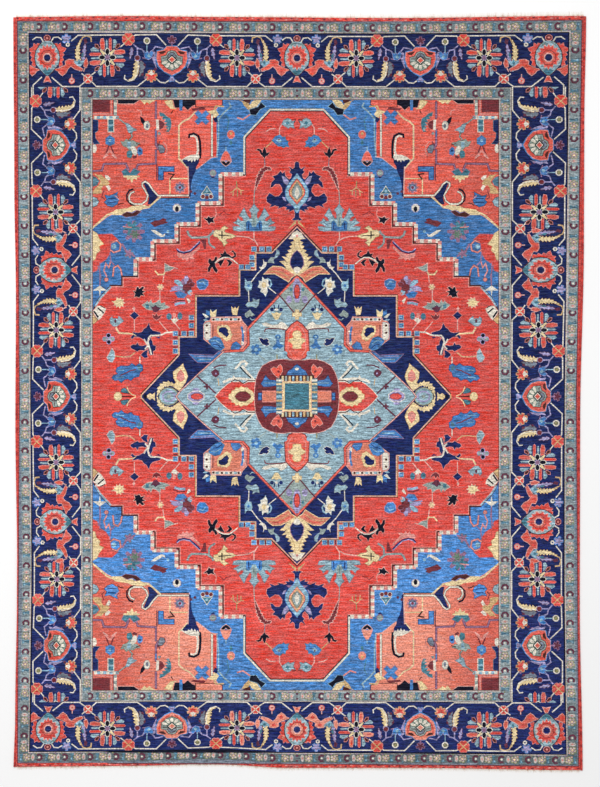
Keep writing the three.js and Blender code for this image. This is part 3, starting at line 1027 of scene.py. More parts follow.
# %% Side box and side point
def side_box():
    """The coral box with the single drop shape, where the two medallions meet."""
    outline = at(222,448, 226,442, 234,441, 237,434, 295,433, 298,441, 310,455, 311,472, 309,486,
            298,500, 259,501, 246,496, 230,483, 222,477)
    shapes = together(
        patch(outline, "salmon", "pink", 1.2),
        patch(at(294,442, 310,456, 310,485, 298,498, 300,480, 296,456), "rose"),
        box(238, 435, 296, 441.4, "ivory", "pink", 0.8),
        patch(at(223,448, 228,444, 234,444, 234,478, 226,478, 223,474), "ivory", "sky", 0.8))
    for x in (249, 267, 285):
        shapes += box(x - 3, 435, x + 3, 440, "mist")
    for x, y in ((241, 438), (258, 437.6), (276, 437.6), (291.4, 437.6), (227.6, 450), (227.4, 464.6)):
        shapes += disc(2.7, "brown", x=x, y=y, tall=2.4)
    return shapes + together(
        line(at(296,441, 238,442), "rose", 2), line(at(236,447, 236,475), "pink", 2),
        line(at(240,448, 240,474), "plum", 1.8),
        patch(at(231,481, 236,476, 244,472, 254,475, 259,484, 263,494, 256,500, 246,497, 238,491),
            "blue", "steel", 0.8),
        line(at(236,481, 246,480, 256,487), "sky", 1.6),
        line(at(240,488, 250,489, 258,496), "navy", 1.6),
        patch(at(276,494, 280,485, 287,482, 293,487, 297,492, 292,498, 276,498), "blue", "maroon", 0.8),
        line(at(297,452, 300,464, 300,476, 299,490), "blue", 4.4),
        patch(at(301,459, 305,461, 300,467), "ivory"),
        patch(at(297,480, 303,485, 300,490, 296,487), "ivory"),
        line(at(260,502, 298,501, 310,486, 312,472, 311,456), "red", 2, "maroon", 0.8),
        patch(at(249,455, 250,451, 255,452, 258,449, 262,451, 267,449, 273,453, 274,459, 276,462,
            276,466, 279,468, 276,473, 276,477, 271,478, 268,481, 263,478, 259,474, 253,471, 249,463),
            "cream", "tan", 0.8),
        patch(at(252,463, 252,457, 256,454, 265,454, 270,459, 269,463, 272,467, 268,473, 262,469,
            257,464), "navy", "brown", 0.6))


def tip():
    """The pale disc and the cream leaf in the medallion's side point."""
    return together(
        patch(at(180,527, 181,533, 186,542, 189,552, 185,563, 178,573, 173,580, 168,577, 160,571,
            167,564, 162,555, 161,543, 168,537, 175,532), "cream", "tan", 1),
        patch(at(176,539, 182,548, 182,558, 175,562, 168,556, 170,546), "rose", "coral", 0.8),
        saw(at(162,568, 146,566, 134,574, 128,592), 6.6, "cream", 7),
        disc(18.6, "mist", "olive", 1.6, x=151.6, y=592, tall=17, sides=14),
        disc(14, "lavender", x=151.6, y=592, tall=12),
        disc(11, "mist", x=151.6, y=592, tall=9), disc(4, "sage", x=152, y=592),
        patch(at(109,590, 114,586, 119,589, 124,584, 123,593, 109,594), "cream", "tan", 0.8),
        patch(at(101,592, 106,585, 108,592), "ink"))


print("side box:", len(side_box()), "shapes")

# %% The navy medallion
MEDALLION = at(410,252, 358,306, 326,306, 326,340, 294,340, 294,392, 207,392, 207,474, 173,474, 173,510,
    98,590, 98,594, 410,594)
HEART = at(410,350, 310,456, 311,488, 300,500, 262,502, 214,544, 174,582, 165,594, 410,594)


def navy_flowers():
    """The cream crown, the salmon leaves and the buds on the navy ground."""
    return together(
        patch(at(408,260, 404,263, 399,265, 397,270, 392,276, 401,277, 403,281, 396,284, 400,289,
            394,292, 398,297, 390,300, 394,305, 386,308, 389,314, 378,312, 384,317, 389,325, 383,321,
            374,322, 382,328, 387,335, 396,341, 402,348, 408,350), "cream", "tan", 0.8),
        patch(at(408,260, 404,263, 399,265, 397,270, 392,276, 401,276, 404,273, 408,273), "ivory"),
        patch(at(408,268, 405,270, 408,275), "rose"), line(at(404,280, 403,292, 396,308), "tan", 1.6),
        patch(at(408,300, 401,307, 396,317, 395,328, 400,336, 408,338), "navy", "mauve", 1.5),
        patch(at(408,332, 401,335, 402,342, 408,347), "ivory"),
        patch(at(342,347, 353,337, 360,332, 376,333, 390,340, 404,349, 396,354, 391,362, 378,354,
            364,346, 352,346), "salmon", "cream", 1.6),
        line(at(352,342, 366,341, 380,346, 392,355), "tan", 1.4),
        line(at(360,337, 376,338, 394,349), "red", 1.8),
        patch(at(367,298, 372,301, 373,307, 368,313, 362,317, 365,309, 367,304), "mist", "grey", 0.8),
        patch(at(363,314, 356,313, 351,319, 349,325, 356,324, 363,326, 361,320), "sage"),
        patch(at(340,317, 343,323, 348,323, 346,331, 342,336, 336,338, 332,333, 338,332, 341,326),
            "ivory"),
        line(at(340,335, 329,346, 321,357, 315,365), "ivory", 2),
        patch(at(304,356, 308,363, 315,362, 318,368, 316,378, 309,381, 304,373, 305,366), "sky", "mist",
            1),
        disc(3, "blue", x=311, y=370), line(at(311,380, 312,402), "ivory", 1.8),
        line(at(348,355, 355,360, 357,368, 352,375), "sky", 2.8),
        line(at(351,374, 366,386), "ivory", 1.8),
        patch(at(339,353, 343,358, 351,357, 350,366, 353,371, 348,374, 349,382, 345,391, 341,385,
            335,382, 337,376, 330,373, 333,367, 332,361, 338,362), "ivory", "mist", 0.8),
        disc(4, "cream", "tan", 0.8, x=342, y=369, tall=5),
        patch(at(306,409, 310,404, 316,404, 321,402, 320,396, 326,400, 332,398, 331,408, 326,414,
            318,411, 310,413), "mist", "sage", 0.8),
        patch(at(304,426, 309,422, 314,418, 318,424, 324,429, 318,432, 314,431, 308,435, 304,431),
            "sage"),
        line(at(314,435, 318,439, 325,437), "mist", 1.8),
        patch(at(277,412, 282,417, 284,413, 287,417, 292,411, 289,422, 288,429, 280,428, 278,422),
            "cream", "tan", 0.6),
        patch(at(235,418, 239,424, 243,421, 247,418, 246,428, 244,437, 237,435, 234,426), "cream",
            "sage", 0.8),
        patch(at(226,418, 234,422, 234,432, 226,427), "blue"),
        patch(at(219,426, 224,427, 232,433, 226,435), "ivory", "sky", 0.6),
        patch(at(220,438, 226,437, 234,441, 228,445), "sky"),
        patch(at(192,507, 200,508, 242,510, 252,502, 258,505, 240,523, 210,524, 202,517), "blue",
            "mauve", 1.1),
        line(at(202,511, 242,513), "lavender", 1.6),
        line(at(210,518, 236,518), "sky", 2.2))


def medallion():
    """The navy medallion with its stepped rim of small blue boxes."""
    shapes = together(
        line([(x - 2, y - 3) for x, y in MEDALLION[:-2]], "brown", 2.4),
        patch(MEDALLION, "navy", "tan", 2.6),
        line([(x, y - 1.4) for x, y in MEDALLION[:-2]], "pink", 1.4),
        patch(at(406,238, 390,257, 406,246), "tan"))
    for x, y in ((322, 297), (338, 297), (352, 297), (318, 314), (318, 328), (297, 333), (310, 333),
                 (197, 434), (197, 450), (197, 466), (165, 466), (182, 466), (165, 484), (165, 501)):
        shapes += box(x - 3.6, y - 3.6, x + 3.6, y + 3.6, "blue", "mist", 1.8)
        shapes += box(x - 1, y - 1, x + 1.4, y + 1.4, "sky")
    for x, y in ((330, 297), (345, 297), (303, 333), (173, 466), (190, 466)):
        shapes += box(x - 1.6, y - 4, x + 1.6, y + 4, "maroon")
    for x, y in ((318, 321), (197, 442), (197, 458), (165, 475), (165, 493)):
        shapes += box(x - 4, y - 1.6, x + 4, y + 1.6, "maroon")
    return together(shapes, navy_flowers(), side_box(), tip())


print("navy medallion:", len(medallion()), "shapes")

# %% The pale blue medallion
def heart_ground():
    """The pale blue inner medallion and its small figures."""
    return together(
        patch(HEART, "mist", "maroon", 2), line(HEART[:5], "coral", 3.4, "maroon", 1.3),
        line(HEART[4:-1], "pink", 2, "plum", 0.8),
        patch(at(410,354, 374,390, 388,410, 400,426, 410,430), "sage"),
        line(at(369,386, 382,400, 394,415, 406,428), "plum", 3, end=2.4),
        disc(9, "lavender", x=408, y=380, tall=26),
        disc(5, "red", "maroon", 1.4, x=408, y=382, tall=14),
        disc(3, "teal", x=396, y=378, tall=4), disc(6, "lavender", x=392, y=398, tall=8),
        placed(both(disc(4, "navy", x=9, y=0, tall=4)), 367, 418),
        line(at(362,408, 364,418), "navy", 2.4), line(at(372,408, 370,418), "navy", 2.4),
        disc(3, "ivory", x=367, y=418),
        patch(at(356,424, 362,426, 367,423, 372,426, 378,424, 370,438, 364,438), "cream", "sage", 0.8),
        patch(at(408,442, 398,449, 390,453, 383,445, 376,442, 370,448, 358,449, 346,444, 338,446,
            341,450, 354,454, 372,455, 386,458, 408,452), "ivory", "sage", 0.6),
        line(at(406,466, 390,460, 378,457, 354,456, 345,457, 343,463), "maroon", 2.2),
        placed(petals(4, 9, "cream", "tan", 0.5), 408, 428),
        patch(at(410,440, 398,448, 386,462, 384,500, 392,514, 410,522), "coral", "maroon", 2),
        line(at(408,448, 396,458, 391,468, 390,498, 398,510), "rose", 1.6),
        patch(at(410,460, 402,462, 399,468, 402,474, 394,477, 391,481, 396,484, 400,488, 400,495,
            410,496), "cream", "tan", 1),
        patch(at(332,475, 338,475, 341,478, 348,476, 352,481, 349,483, 354,487, 348,491, 340,488,
            335,482), "navy", "ivory", 0.8),
        disc(6, "blue", "sky", 0.8, x=370, y=473, tall=5.4), disc(2.6, "sky", x=370, y=473),
        patch(at(367,478, 372,478, 374,486, 382,491, 374,497, 369,494, 362,499, 359,493, 366,486),
            "blue", "sky", 0.6),
        placed(petals(5, 11, "blue", "sky", 0.62, blunt=0.5), 326, 498), disc(3.6, "sky", x=326, y=498),
        disc(5, "sky", x=384, y=506), line(at(330,508, 338,514, 346,520), "sage", 2),
        line(at(368,508, 368,518), "olive", 2.4),
        line(at(260,564, 272,558, 294,556, 324,560), "ivory", 5),
        patch(at(278,556, 281,549, 286,556), "ivory"),
        line(at(322,559, 308,543, 298,530), "ivory", 4.6), disc(2.2, "mist", x=303, y=527),
        line(at(284,537, 292,529, 296,523, 303,521, 308,526, 304,531), "ivory", 4.2),
        line(at(294,533, 304,544, 316,555), "ink", 2.4),
        patch(at(244,593, 256,579, 270,567, 278,563, 295,563, 302,567, 310,563, 326,563, 326,596,
            244,596), "red", "ivory", 1.4),
        line(at(276,563, 284,558, 294,562, 300,566, 310,560, 326,560), "brown", 1.8),
        patch(at(272,588, 277,586, 278,581, 284,579, 286,574, 292,576, 296,572, 302,575, 308,574,
            312,578, 318,581, 322,587, 326,594, 272,596), "cream", "tan", 0.8),
        patch(at(282,595, 287,587, 294,582, 306,582, 314,588, 318,595), "maroon", "olive", 0.8),
        line(at(241,535, 252,530, 267,529), "plum", 2.6),
        patch(at(236,543, 244,537, 251,540, 253,548, 246,554, 239,550), "plum"),
        disc(1.8, "lavender", x=246, y=546), line(at(250,556, 252,570), "tan", 1.8),
        line(at(208,551, 246,586), "plum", 3), placed(petals(4, 6, "plum", None, 0.5), 228, 572),
        disc(17, "lavender", "ivory", 1.4, x=206, y=592, tall=11),
        disc(12, "red", "maroon", 1, x=208, y=592, tall=6),
        disc(7, "lavender", x=206, y=578, tall=3))


print("pale medallion:", len(heart_ground()), "shapes")

# %% The maroon middle
def centre():
    """The maroon middle with its framed teal square."""
    edge = at(410,519, 394,520, 382,518, 366,519, 353,523, 339,531, 331,545, 326,559, 324,575, 323,594,
            410,594)
    shapes = together(
        patch(edge, "maroon", "pink", 1.3),
        patch(at(356,537, 362,533, 367,536, 371,531, 375,528, 378,533, 379,541, 375,548, 371,555,
            366,551, 360,545), "coral", "pink", 0.9),
        disc(2.6, "maroon", x=371, y=542),
        patch(at(336,566, 341,559, 345,550, 349,555, 353,559, 370,561, 370,569, 354,572, 341,572),
            "blue", "navy", 0.8),
        line(at(343,565, 366,565), "sky", 1.6), line(at(328,577, 368,577), "brown", 2),
        box(340, 582, 368, 602, "salmon", "rose", 1.6), box(331, 585, 337, 599, "blue", "navy", 1.2),
        patch(at(410,527, 403,531, 398,537, 391,541, 387,549, 410,549), "blue", "navy", 1),
        disc(4.4, "ivory", x=408, y=537, tall=2.8), box(373, 549.4, 412, 562, "brown"),
        box(366.4, 556, 379, 600, "steel"))
    for x, dye in ((379.4, "cream"), (386, "sage"), (393.4, "tan"), (400.4, "sky"), (408, "tan")):
        shapes += patch([(x - 2, 551), (x + 2, 551), (x + 2.4, 562), (x - 2.4, 562)], dye)
    for y, dye in ((560, "ivory"), (567, "cream"), (575, "sage"), (583.4, "tan"), (592, "sky")):
        shapes += box(367, y - 2, 379, y + 2, dye)
    return shapes + together(
        box(379, 562, 412, 600, "cream", "rose", 0.8),
        box(384.4, 566.4, 412, 600, "teal", "navy", 0.8))


print("middle:", len(centre()), "shapes")

# %% [markdown]
# The field's shapes are turned round so that both counts start at the rug's middle, X
# outwards to the side and Y outwards to the end, and the border goes on top.

# %% The chart of one quarter
def field():
    """The field's quarter, counted from the rug's middle."""
    shapes = together(
        spandrels(), corner(), spandrel_flowers(), volute_palmette(), field_flowers(),
        lower_flowers(), medallion(), heart_ground(), centre())
    return [([(MIDDLE[0] - x, MIDDLE[1] - y) for x, y in points], dye) for points, dye in shapes]


def quarter():
    """Every shape of one quarter, counted in knots from the rug's middle outwards."""
    ground = [(-2, -2), (FIELD[0], -2), FIELD, (-2, FIELD[1])]
    return together([(ground, "red")], field(), border())


chart = quarter()
print("the chart has", len(chart), "shapes and", sum(len(points) for points, dye in chart), "corners")

# %% [markdown]
# ## From chart to cloth
# The pattern could be painted on with an image or worked out by a shader. Here it is cut into
# the pile itself: a Delaunay triangulation joins all the outlines, each triangle takes the dye
# of the last shape drawn over it, and the edges that no longer part two dyes are left out
# before the cloth is cut for good. So the outlines stay crisp at any distance.

# %% Cut a chart into triangles
PILE_SIDE = FIELD[0] + 157  # knots from the middle to the cord at the side
PILE_END = FIELD[1] + 162   # knots from the middle to the end of the pile
RIM_LINES = (0, 0.3, 0.7, 1.3)   # knots in from the rim, where the pile rounds over
CLOTH_GRID = 25             # knots between the points that carry the cloth's slight waves
SAME_CORNER = 0.004         # knots, within which two corners count as one


def outline_edges(shapes):
    """All the corners of the shapes, and the pairs of them that an outline joins."""
    corners = []
    edges = []
    for points, _ in shapes:
        first = len(corners)
        count = len(points)
        corners += points
        edges += [(first + i, first + (i + 1) % count) for i in range(count)]
    return corners, edges


def triangles(corners, edges):
    """Delaunay triangles of the corners that keep every given edge."""
    made = delaunay_2d_cdt([Vector(corner) for corner in corners], edges, [], 0, SAME_CORNER, False)
    return np.array([tuple(v) for v in made[0]]), np.array(made[2])


def dyes_at(spots, shapes):
    """The dye that shows at each spot, as its place in the list of dyes."""
    names = list(DYES)
    showing = np.zeros(len(spots), int)
    for points, dye in shapes:
        outline = np.array(points, float)
        low = outline.min(0)
        high = outline.max(0)
        near = np.nonzero(((spots > low) & (spots < high)).all(1))[0]
        if len(near) == 0:
            continue
        x, y = spots[near].T
        inside = np.zeros(len(near), bool)
        for (xa, ya), (xb, yb) in zip(outline, np.roll(outline, -1, 0)):
            if ya != yb:
                inside ^= ((ya > y) != (yb > y)) & (x < xa + (y - ya) * (xb - xa) / (yb - ya))
        showing[near[inside]] = names.index(dye)
    return showing


def rim_shapes():
    """Rectangles near the rim, drawn in no dye, so that the rim can round over there."""
    return [([(0, 0), (PILE_SIDE - d, 0), (PILE_SIDE - d, PILE_END - d), (0, PILE_END - d)], None)
            for d in RIM_LINES]


corners, edges = outline_edges(chart + rim_shapes())
knots, faces = triangles(corners, edges)
showing = dyes_at(knots[faces].mean(1), chart)
print("first cut:", len(faces), "triangles")

# %% Leave out the edges that part no dyes
def parting_edges(faces, showing):
    """Edges between triangles of different dyes."""
    sides = np.sort(faces[:, [0, 1, 1, 2, 2, 0]].reshape(-1, 2), axis=1)
    owner = np.repeat(showing, 3)
    order = np.lexsort((sides[:, 1], sides[:, 0]))
    sides = sides[order]
    owner = owner[order]
    paired = (sides[1:] == sides[:-1]).all(1)
    return sides[1:][paired & (owner[1:] != owner[:-1])]


parting = parting_edges(faces, showing)
used = np.unique(parting)
renumbered = np.searchsorted(used, parting)
corners = [tuple(knots[i]) for i in used]
edges = [tuple(pair) for pair in renumbered.tolist()]
rim_corners, rim_edges = outline_edges(rim_shapes())
edges += [(a + len(corners), b + len(corners)) for a, b in rim_edges]
corners += rim_corners
across = np.linspace(0, PILE_SIDE, round(PILE_SIDE / CLOTH_GRID) + 1)
along = np.linspace(0, PILE_END, round(PILE_END / CLOTH_GRID) + 1)
corners += [(x, y) for x in across for y in along]
knots, faces = triangles(corners, edges)
middles = knots[faces].mean(1)
kept = (middles > 0).all(1) & (middles[:, 0] < PILE_SIDE) & (middles[:, 1] < PILE_END)
faces = faces[kept]
showing = dyes_at(middles[kept], chart)
print("last cut:", len(faces), "triangles in a quarter")

# %% [markdown]
# The quarter is mirrored across both middle lines. The real rug is not quite even: the field
# sits a little left of the middle and nearer the far end, and the border is drawn in where
# the sides waver. So each knot's place is worked out between the middle, the field's edge and
# the pile's own rim, which is read from the measured solid.

# %% The rim of the pile
KNOT = 0.0024              # metres
FIELD_MIDDLE = (-0.0130, -0.0202)
FIELD_REACH = {"left": 0.980, "right": 0.967, "far": 1.423, "near": 1.409}
PILE_TOP = 0.009
END_ZONE = 1.78            # metres from the middle, past which a rim point belongs to an end
RIM_LEVEL = 0.006          # height at which the solid is widest
LEVEL_SLACK = 0.0005

rim = np.array([tuple(v.co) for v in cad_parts["pile"].data.vertices])
rim = np.unique(rim[np.abs(rim[:, 2] - RIM_LEVEL) < LEVEL_SLACK].round(5), axis=0)


def rim_line(points, place, value):
    """A rim as two rows of numbers, the places along it and how far out it lies."""
    order = np.argsort(points[:, place])
    return points[order, place], points[order, value]


ends = np.abs(rim[:, 1]) > END_ZONE
far_rim = rim_line(rim[ends & (rim[:, 1] > 0)], 0, 1)
near_rim = rim_line(rim[ends & (rim[:, 1] < 0)], 0, 1)
corner_rows = np.array([[far_rim[0][0], far_rim[1][0]], [near_rim[0][0], near_rim[1][0]],
                        [far_rim[0][-1], far_rim[1][-1]], [near_rim[0][-1], near_rim[1][-1]]])
left_rim = rim_line(np.vstack([rim[~ends & (rim[:, 0] < 0)][:, :2], corner_rows[:2]]), 1, 0)
right_rim = rim_line(np.vstack([rim[~ends & (rim[:, 0] > 0)][:, :2], corner_rows[2:]]), 1, 0)
print("rim points:", [len(row[0]) for row in (far_rim, near_rim, left_rim, right_rim)])

# %% Lay the chart out at its real size
WAVE_HEIGHT = 0.0004
WAVE_TURNS = (5.1, 6.3)     # radians a metre, across and along the rug
WAVE_STARTS = (1.0, 0.4)


def rim_beside(negative, places, low_rim, high_rim):
    """How far out the rim lies beside each place, on the side that the place is on."""
    return np.where(negative, np.interp(places, *low_rim), np.interp(places, *high_rim))


def laid_out(points):
    """Places in metres of points counted in knots from the middle, left and near as negative."""
    x, y = points.T
    reach_x = np.where(x < 0, FIELD_REACH["left"], FIELD_REACH["right"])
    reach_y = np.where(y < 0, FIELD_REACH["near"], FIELD_REACH["far"])
    inner_x = np.minimum(np.abs(x) / FIELD[0], 1) * reach_x
    inner_y = np.minimum(np.abs(y) / FIELD[1], 1) * reach_y
    out_x = np.clip((np.abs(x) - FIELD[0]) / (PILE_SIDE - FIELD[0]), 0, 1)
    out_y = np.clip((np.abs(y) - FIELD[1]) / (PILE_END - FIELD[1]), 0, 1)
    placed_x = FIELD_MIDDLE[0] + np.sign(x) * inner_x
    placed_y = FIELD_MIDDLE[1] + np.sign(y) * inner_y
    rough_x = placed_x + out_x * (rim_beside(x < 0, placed_y, left_rim, right_rim) - placed_x)
    placed_y = placed_y + out_y * (rim_beside(y < 0, rough_x, near_rim, far_rim) - placed_y)
    rim_x = rim_beside(x < 0, placed_y, left_rim, right_rim)
    return np.column_stack([placed_x + out_x * (rim_x - placed_x), placed_y])


def mirrored(points, faces, showing):
    """The quarter copied into all four, with the points on the middle lines merged."""
    all_points = []
    all_faces = []
    for turn_x, turn_y in ((1, 1), (-1, 1), (1, -1), (-1, -1)):
        start = len(all_points) * len(points)
        all_points.append(points * (turn_x, turn_y))
        all_faces.append((faces if turn_x * turn_y > 0 else faces[:, ::-1]) + start)
    stacked = np.vstack(all_points).round(4) + 0.0
    merged, place = np.unique(stacked, axis=0, return_inverse=True)
    return merged, place.ravel()[np.vstack(all_faces)], np.tile(showing, 4)


def rounded_rim(points):
    """How far the pile drops near its rim, as a quarter round of the yarn's height."""
    inward = np.minimum(PILE_SIDE - np.abs(points[:, 0]), PILE_END - np.abs(points[:, 1])) * KNOT
    radius = RIM_LINES[-1] * KNOT
    gap = np.clip(radius - inward, 0, radius)
    return radius - np.sqrt(radius ** 2 - gap ** 2)


whole_knots, whole_faces, whole_showing = mirrored(knots, faces, showing)
flat_places = laid_out(whole_knots)
waves = WAVE_HEIGHT * (np.sin(flat_places * WAVE_TURNS + WAVE_STARTS).prod(1) - 1)
heights = PILE_TOP + waves - rounded_rim(whole_knots)
print("the face of the pile has", len(whole_faces), "triangles")

# %% [markdown]
# Wool is dyed in small lots, so the same dye comes out lighter or deeper as the weaver works up
# the rug. Here the blue, the navy and the red are lighter towards the near end, where the coral
# has also faded to peach, most of all beside the scrolls. The shade of a lot is worked out from
# where on the rug each corner lies.

# %% Dye lots
# Each row gives the metres from the rug's middle and how light the dye came out there.
LOTS = {
    "blue": ((-1.30, 1.14), (-0.90, 1.38), (-0.45, 1.08), (0.20, 0.80), (0.90, 0.78), (1.40, 0.88)),
    "red": ((-1.40, 1.02), (-1.10, 1.20), (-0.60, 1.10), (0.10, 1.00), (0.80, 0.90), (1.40, 0.94)),
    "coral": ((-1.40, 1.02), (-1.10, 1.10), (-0.60, 1.08), (0.80, 0.98), (1.40, 0.94)),
    "navy": ((-1.50, 1.50), (-0.60, 1.36), (0.10, 1.06), (1.40, 0.84)),
    "fog": ((-1.75, 0.58), (-1.60, 0.62), (-1.42, 1.22), (-1.20, 1.12), (1.30, 1.04), (1.42, 0.68)),
}
ANY_LOT = ((-1.40, 1.04), (0.00, 1.00), (1.40, 0.82))
CORAL_ACROSS = ((0.60, 1.06), (0.86, 0.90))    # metres to the side, and how light the coral is
PEACH = (255, 184, 154)
PEACH_ALONG = ((-1.38, 0.42), (-0.95, 0.60), (-0.80, 0.00))
PEACH_ACROSS = ((0.60, 1.00), (0.86, 0.12))


def lot_shades(corner_dyes, along):
    """How light the wool is at each corner, from its dye and its place along the rug."""
    shades = np.interp(along, *zip(*ANY_LOT))
    for number, name in enumerate(DYES):
        if name in LOTS:
            chosen = corner_dyes == number
            shades[chosen] = np.interp(along[chosen], *zip(*LOTS[name]))
    return shades


def dyed(corner_dyes, places):
    """The linear colour of each corner, with its lot's shade and the fading of the coral."""
    colours = np.array([linear(colour) for colour in DYES.values()])[corner_dyes]
    colours *= lot_shades(corner_dyes, places[:, 1])[:, None]
    coral = corner_dyes == list(DYES).index("coral")
    beside, along = np.abs(places[coral].T)[0], places[coral, 1]
    colours[coral] *= np.interp(beside, *zip(*CORAL_ACROSS))[:, None]
    faded = np.interp(along, *zip(*PEACH_ALONG)) * np.interp(beside, *zip(*PEACH_ACROSS))
    colours[coral] += (linear(PEACH) - colours[coral]) * faded[:, None]
    return np.column_stack([colours, np.ones(len(colours))])


# %% Build the pile
def pile_mesh():
    """The patterned face as a mesh, with its dyes on the corners of the faces."""
    mesh = bpy.data.meshes.new("knotted_pile")
    points = np.column_stack([flat_places, heights])
    mesh.from_pydata(points.tolist(), [], whole_faces.tolist())
    colours = dyed(np.repeat(whole_showing, 3), flat_places[whole_faces.ravel()])
    attribute = mesh.attributes.new("dye", "FLOAT_COLOR", "CORNER")
    attribute.data.foreach_set("color", colours.ravel())
    return mesh


mesh = pile_mesh()
pile = bpy.data.objects.new("knotted_pile", mesh)
bpy.context.scene.collection.objects.link(pile)
print("the pile's face is", [round(v, 3) for v in pile.dimensions], "metres")

# %% [markdown]
# The face gets its thickness by extruding its rim down to the floor, drawing it in a little
# as the first row of knots does, and closing the underside.

# %% Sides and underside
SIDE_FOOT = 0.0012         # height of the lowest knots over the floor
FOOT_INSET = 0.0015

work = bmesh.new()
work.from_mesh(pile.data)
dye_layer = work.loops.layers.float_color["dye"]
boundary = [edge for edge in work.edges if edge.is_boundary]
for height, draw_in in ((SIDE_FOOT, 0.0), (0.0, FOOT_INSET)):
    grown_rim = bmesh.ops.extrude_edge_only(work, edges=boundary)
    new_corners = [item for item in grown_rim["geom"] if isinstance(item, bmesh.types.BMVert)]
    boundary = [edge for edge in work.edges if edge.is_boundary]
    for corner_point in new_corners:
        corner_point.co.x -= math.copysign(draw_in, corner_point.co.x)
        corner_point.co.y -= math.copysign(draw_in, corner_point.co.y)
        corner_point.co.z = height
bmesh.ops.triangle_fill(work, edges=boundary, use_beauty=True)
side_dye = linear(DYES["red"]) + [1.0]
for face in work.faces:
    if face.index < 0 or face.index >= len(whole_faces):
        for loop in face.loops:
            loop[dye_layer] = side_dye
bmesh.ops.recalc_face_normals(work, faces=work.faces)
open_edges = sum(1 for edge in work.edges if not edge.is_manifold)
work.to_mesh(pile.data)
work.free()
print("open edges:", open_edges, " triangles:", sum(len(p.vertices) - 2 for p in pile.data.polygons))

# %% [markdown]
# ## The finish of the wool
# Hand-dyed wool is never even. Each dye lot changes a little from row to row, which weavers
# call abrash and which shows as fine streaks across the rug, and each knot takes the light in
# its own way. The shader takes the dye from the mesh and lets stretched noise, read from the
# rug's own coordinates, darken, lighten and fade it. The blue wools took the dye least evenly,
# so they vary more than the reds. Cut pile is matt with a soft sheen.

# %% A helper for materials
def new_finish(name, roughness, sheen):
    """A new material with its shader, and two helpers that add a node and join two sockets."""
    material = bpy.data.materials.new(name)
    material.use_nodes = True
    tree = material.node_tree
    shader = tree.nodes["Principled BSDF"]
    shader.inputs["Roughness"].default_value = roughness
    shader.inputs["Specular IOR Level"].default_value = 0.1
    shader.inputs["Sheen Weight"].default_value = sheen
    shader.inputs["Sheen Roughness"].default_value = 0.6

    def add(kind, **settings):
        node = tree.nodes.new(kind)
        for key, value in settings.items():
            if key in node.inputs:
                node.inputs[key].default_value = value
            else:
                setattr(node, key, value)
        return node

    return material, shader, add, tree.links.new


def streaks(add, link, place, scale, detail=2.0):
    """Noise stretched by different scales along each axis, in cycles a metre."""
    stretch = add("ShaderNodeMapping", Scale=scale)
    noise = add("ShaderNodeTexNoise", Scale=1.0, Detail=detail, Roughness=0.55)
    link(place.outputs["Object"], stretch.inputs["Vector"])
    link(stretch.outputs["Vector"], noise.inputs["Vector"])
    return noise.outputs["Fac"]


def ranged(add, link, value, low, high, inner=(0.3, 0.7)):
    """The middle stretch of a noise value, spread over a new range."""
    spread = add("ShaderNodeMapRange")
    spread.inputs["From Min"].default_value = inner[0]
    spread.inputs["From Max"].default_value = inner[1]
    spread.inputs["To Min"].default_value = low
    spread.inputs["To Max"].default_value = high
    link(value, spread.inputs["Value"])
    return spread.outputs["Result"]


def product(add, link, first, second):
    """Two values multiplied."""
    times = add("ShaderNodeMath", operation="MULTIPLY")
    link(first, times.inputs[0])
    link(second, times.inputs[1])
    return times.outputs["Value"]


print("the material helpers are ready")

# %% Pile wool
WORN_A, WORN_B, WORN_RESULT = 6, 7, 2   # the colour sockets of a Mix node

pile_wool, shader, add, link = new_finish("pile_wool", 0.95, 0.02)
place = add("ShaderNodeTexCoord")
dye = add("ShaderNodeAttribute", attribute_name="dye")


def noise_between(low, high, scale, detail=2.0, inner=(0.3, 0.7)):
    """Stretched noise, spread between two values."""
    return ranged(add, link, streaks(add, link, place, scale, detail), low, high, inner)


rows = noise_between(0.80, 1.20, (12.0, 95.0, 1.0))
lots = noise_between(0.76, 1.20, (30.0, 200.0, 1.0), 1.0)
grain = noise_between(0.58, 1.40, (120.0, 180.0, 1.0), 1.0)
depth = product(add, link, product(add, link, rows, lots), grain)

channels = add("ShaderNodeSeparateColor")
link(dye.outputs["Color"], channels.inputs["Color"])
cooler = add("ShaderNodeMath", operation="SUBTRACT")
link(channels.outputs["Blue"], cooler.inputs[0])
link(channels.outputs["Red"], cooler.inputs[1])
cool = ranged(add, link, cooler.outputs["Value"], 0.0, 1.0, (0.0, 0.08))
uneven = noise_between(0.45, 1.55, (26.0, 130.0, 1.0))
swell = add("ShaderNodeMix", data_type="FLOAT", A=1.0)
link(cool, swell.inputs["Factor"])
link(uneven, swell.inputs["B"])
deeper = product(add, link, depth, swell.outputs["Result"])

strength = noise_between(0.86, 1.06, (14.0, 120.0, 1.0))
tint = add("ShaderNodeHueSaturation")
link(dye.outputs["Color"], tint.inputs["Color"])
link(deeper, tint.inputs["Value"])
link(strength, tint.inputs["Saturation"])
fading = noise_between(0.0, 0.16, (26.0, 150.0, 1.0), inner=(0.50, 0.76))
worn = add("ShaderNodeMix", data_type="RGBA")
worn.inputs[WORN_B].default_value = linear((104, 112, 140)) + [1]
link(fading, worn.inputs["Factor"])
link(tint.outputs["Color"], worn.inputs[WORN_A])
rubbed = noise_between(0.0, 1.0, (20.0, 190.0, 1.0), 1.0, (0.50, 0.80))
blued = add("ShaderNodeMix", data_type="RGBA", blend_type="ADD")
blued.inputs[WORN_B].default_value = (0.010, 0.040, 0.110, 1)
link(product(add, link, cool, rubbed), blued.inputs["Factor"])
link(worn.outputs[WORN_RESULT], blued.inputs[WORN_A])
link(blued.outputs[WORN_RESULT], shader.inputs["Base Color"])
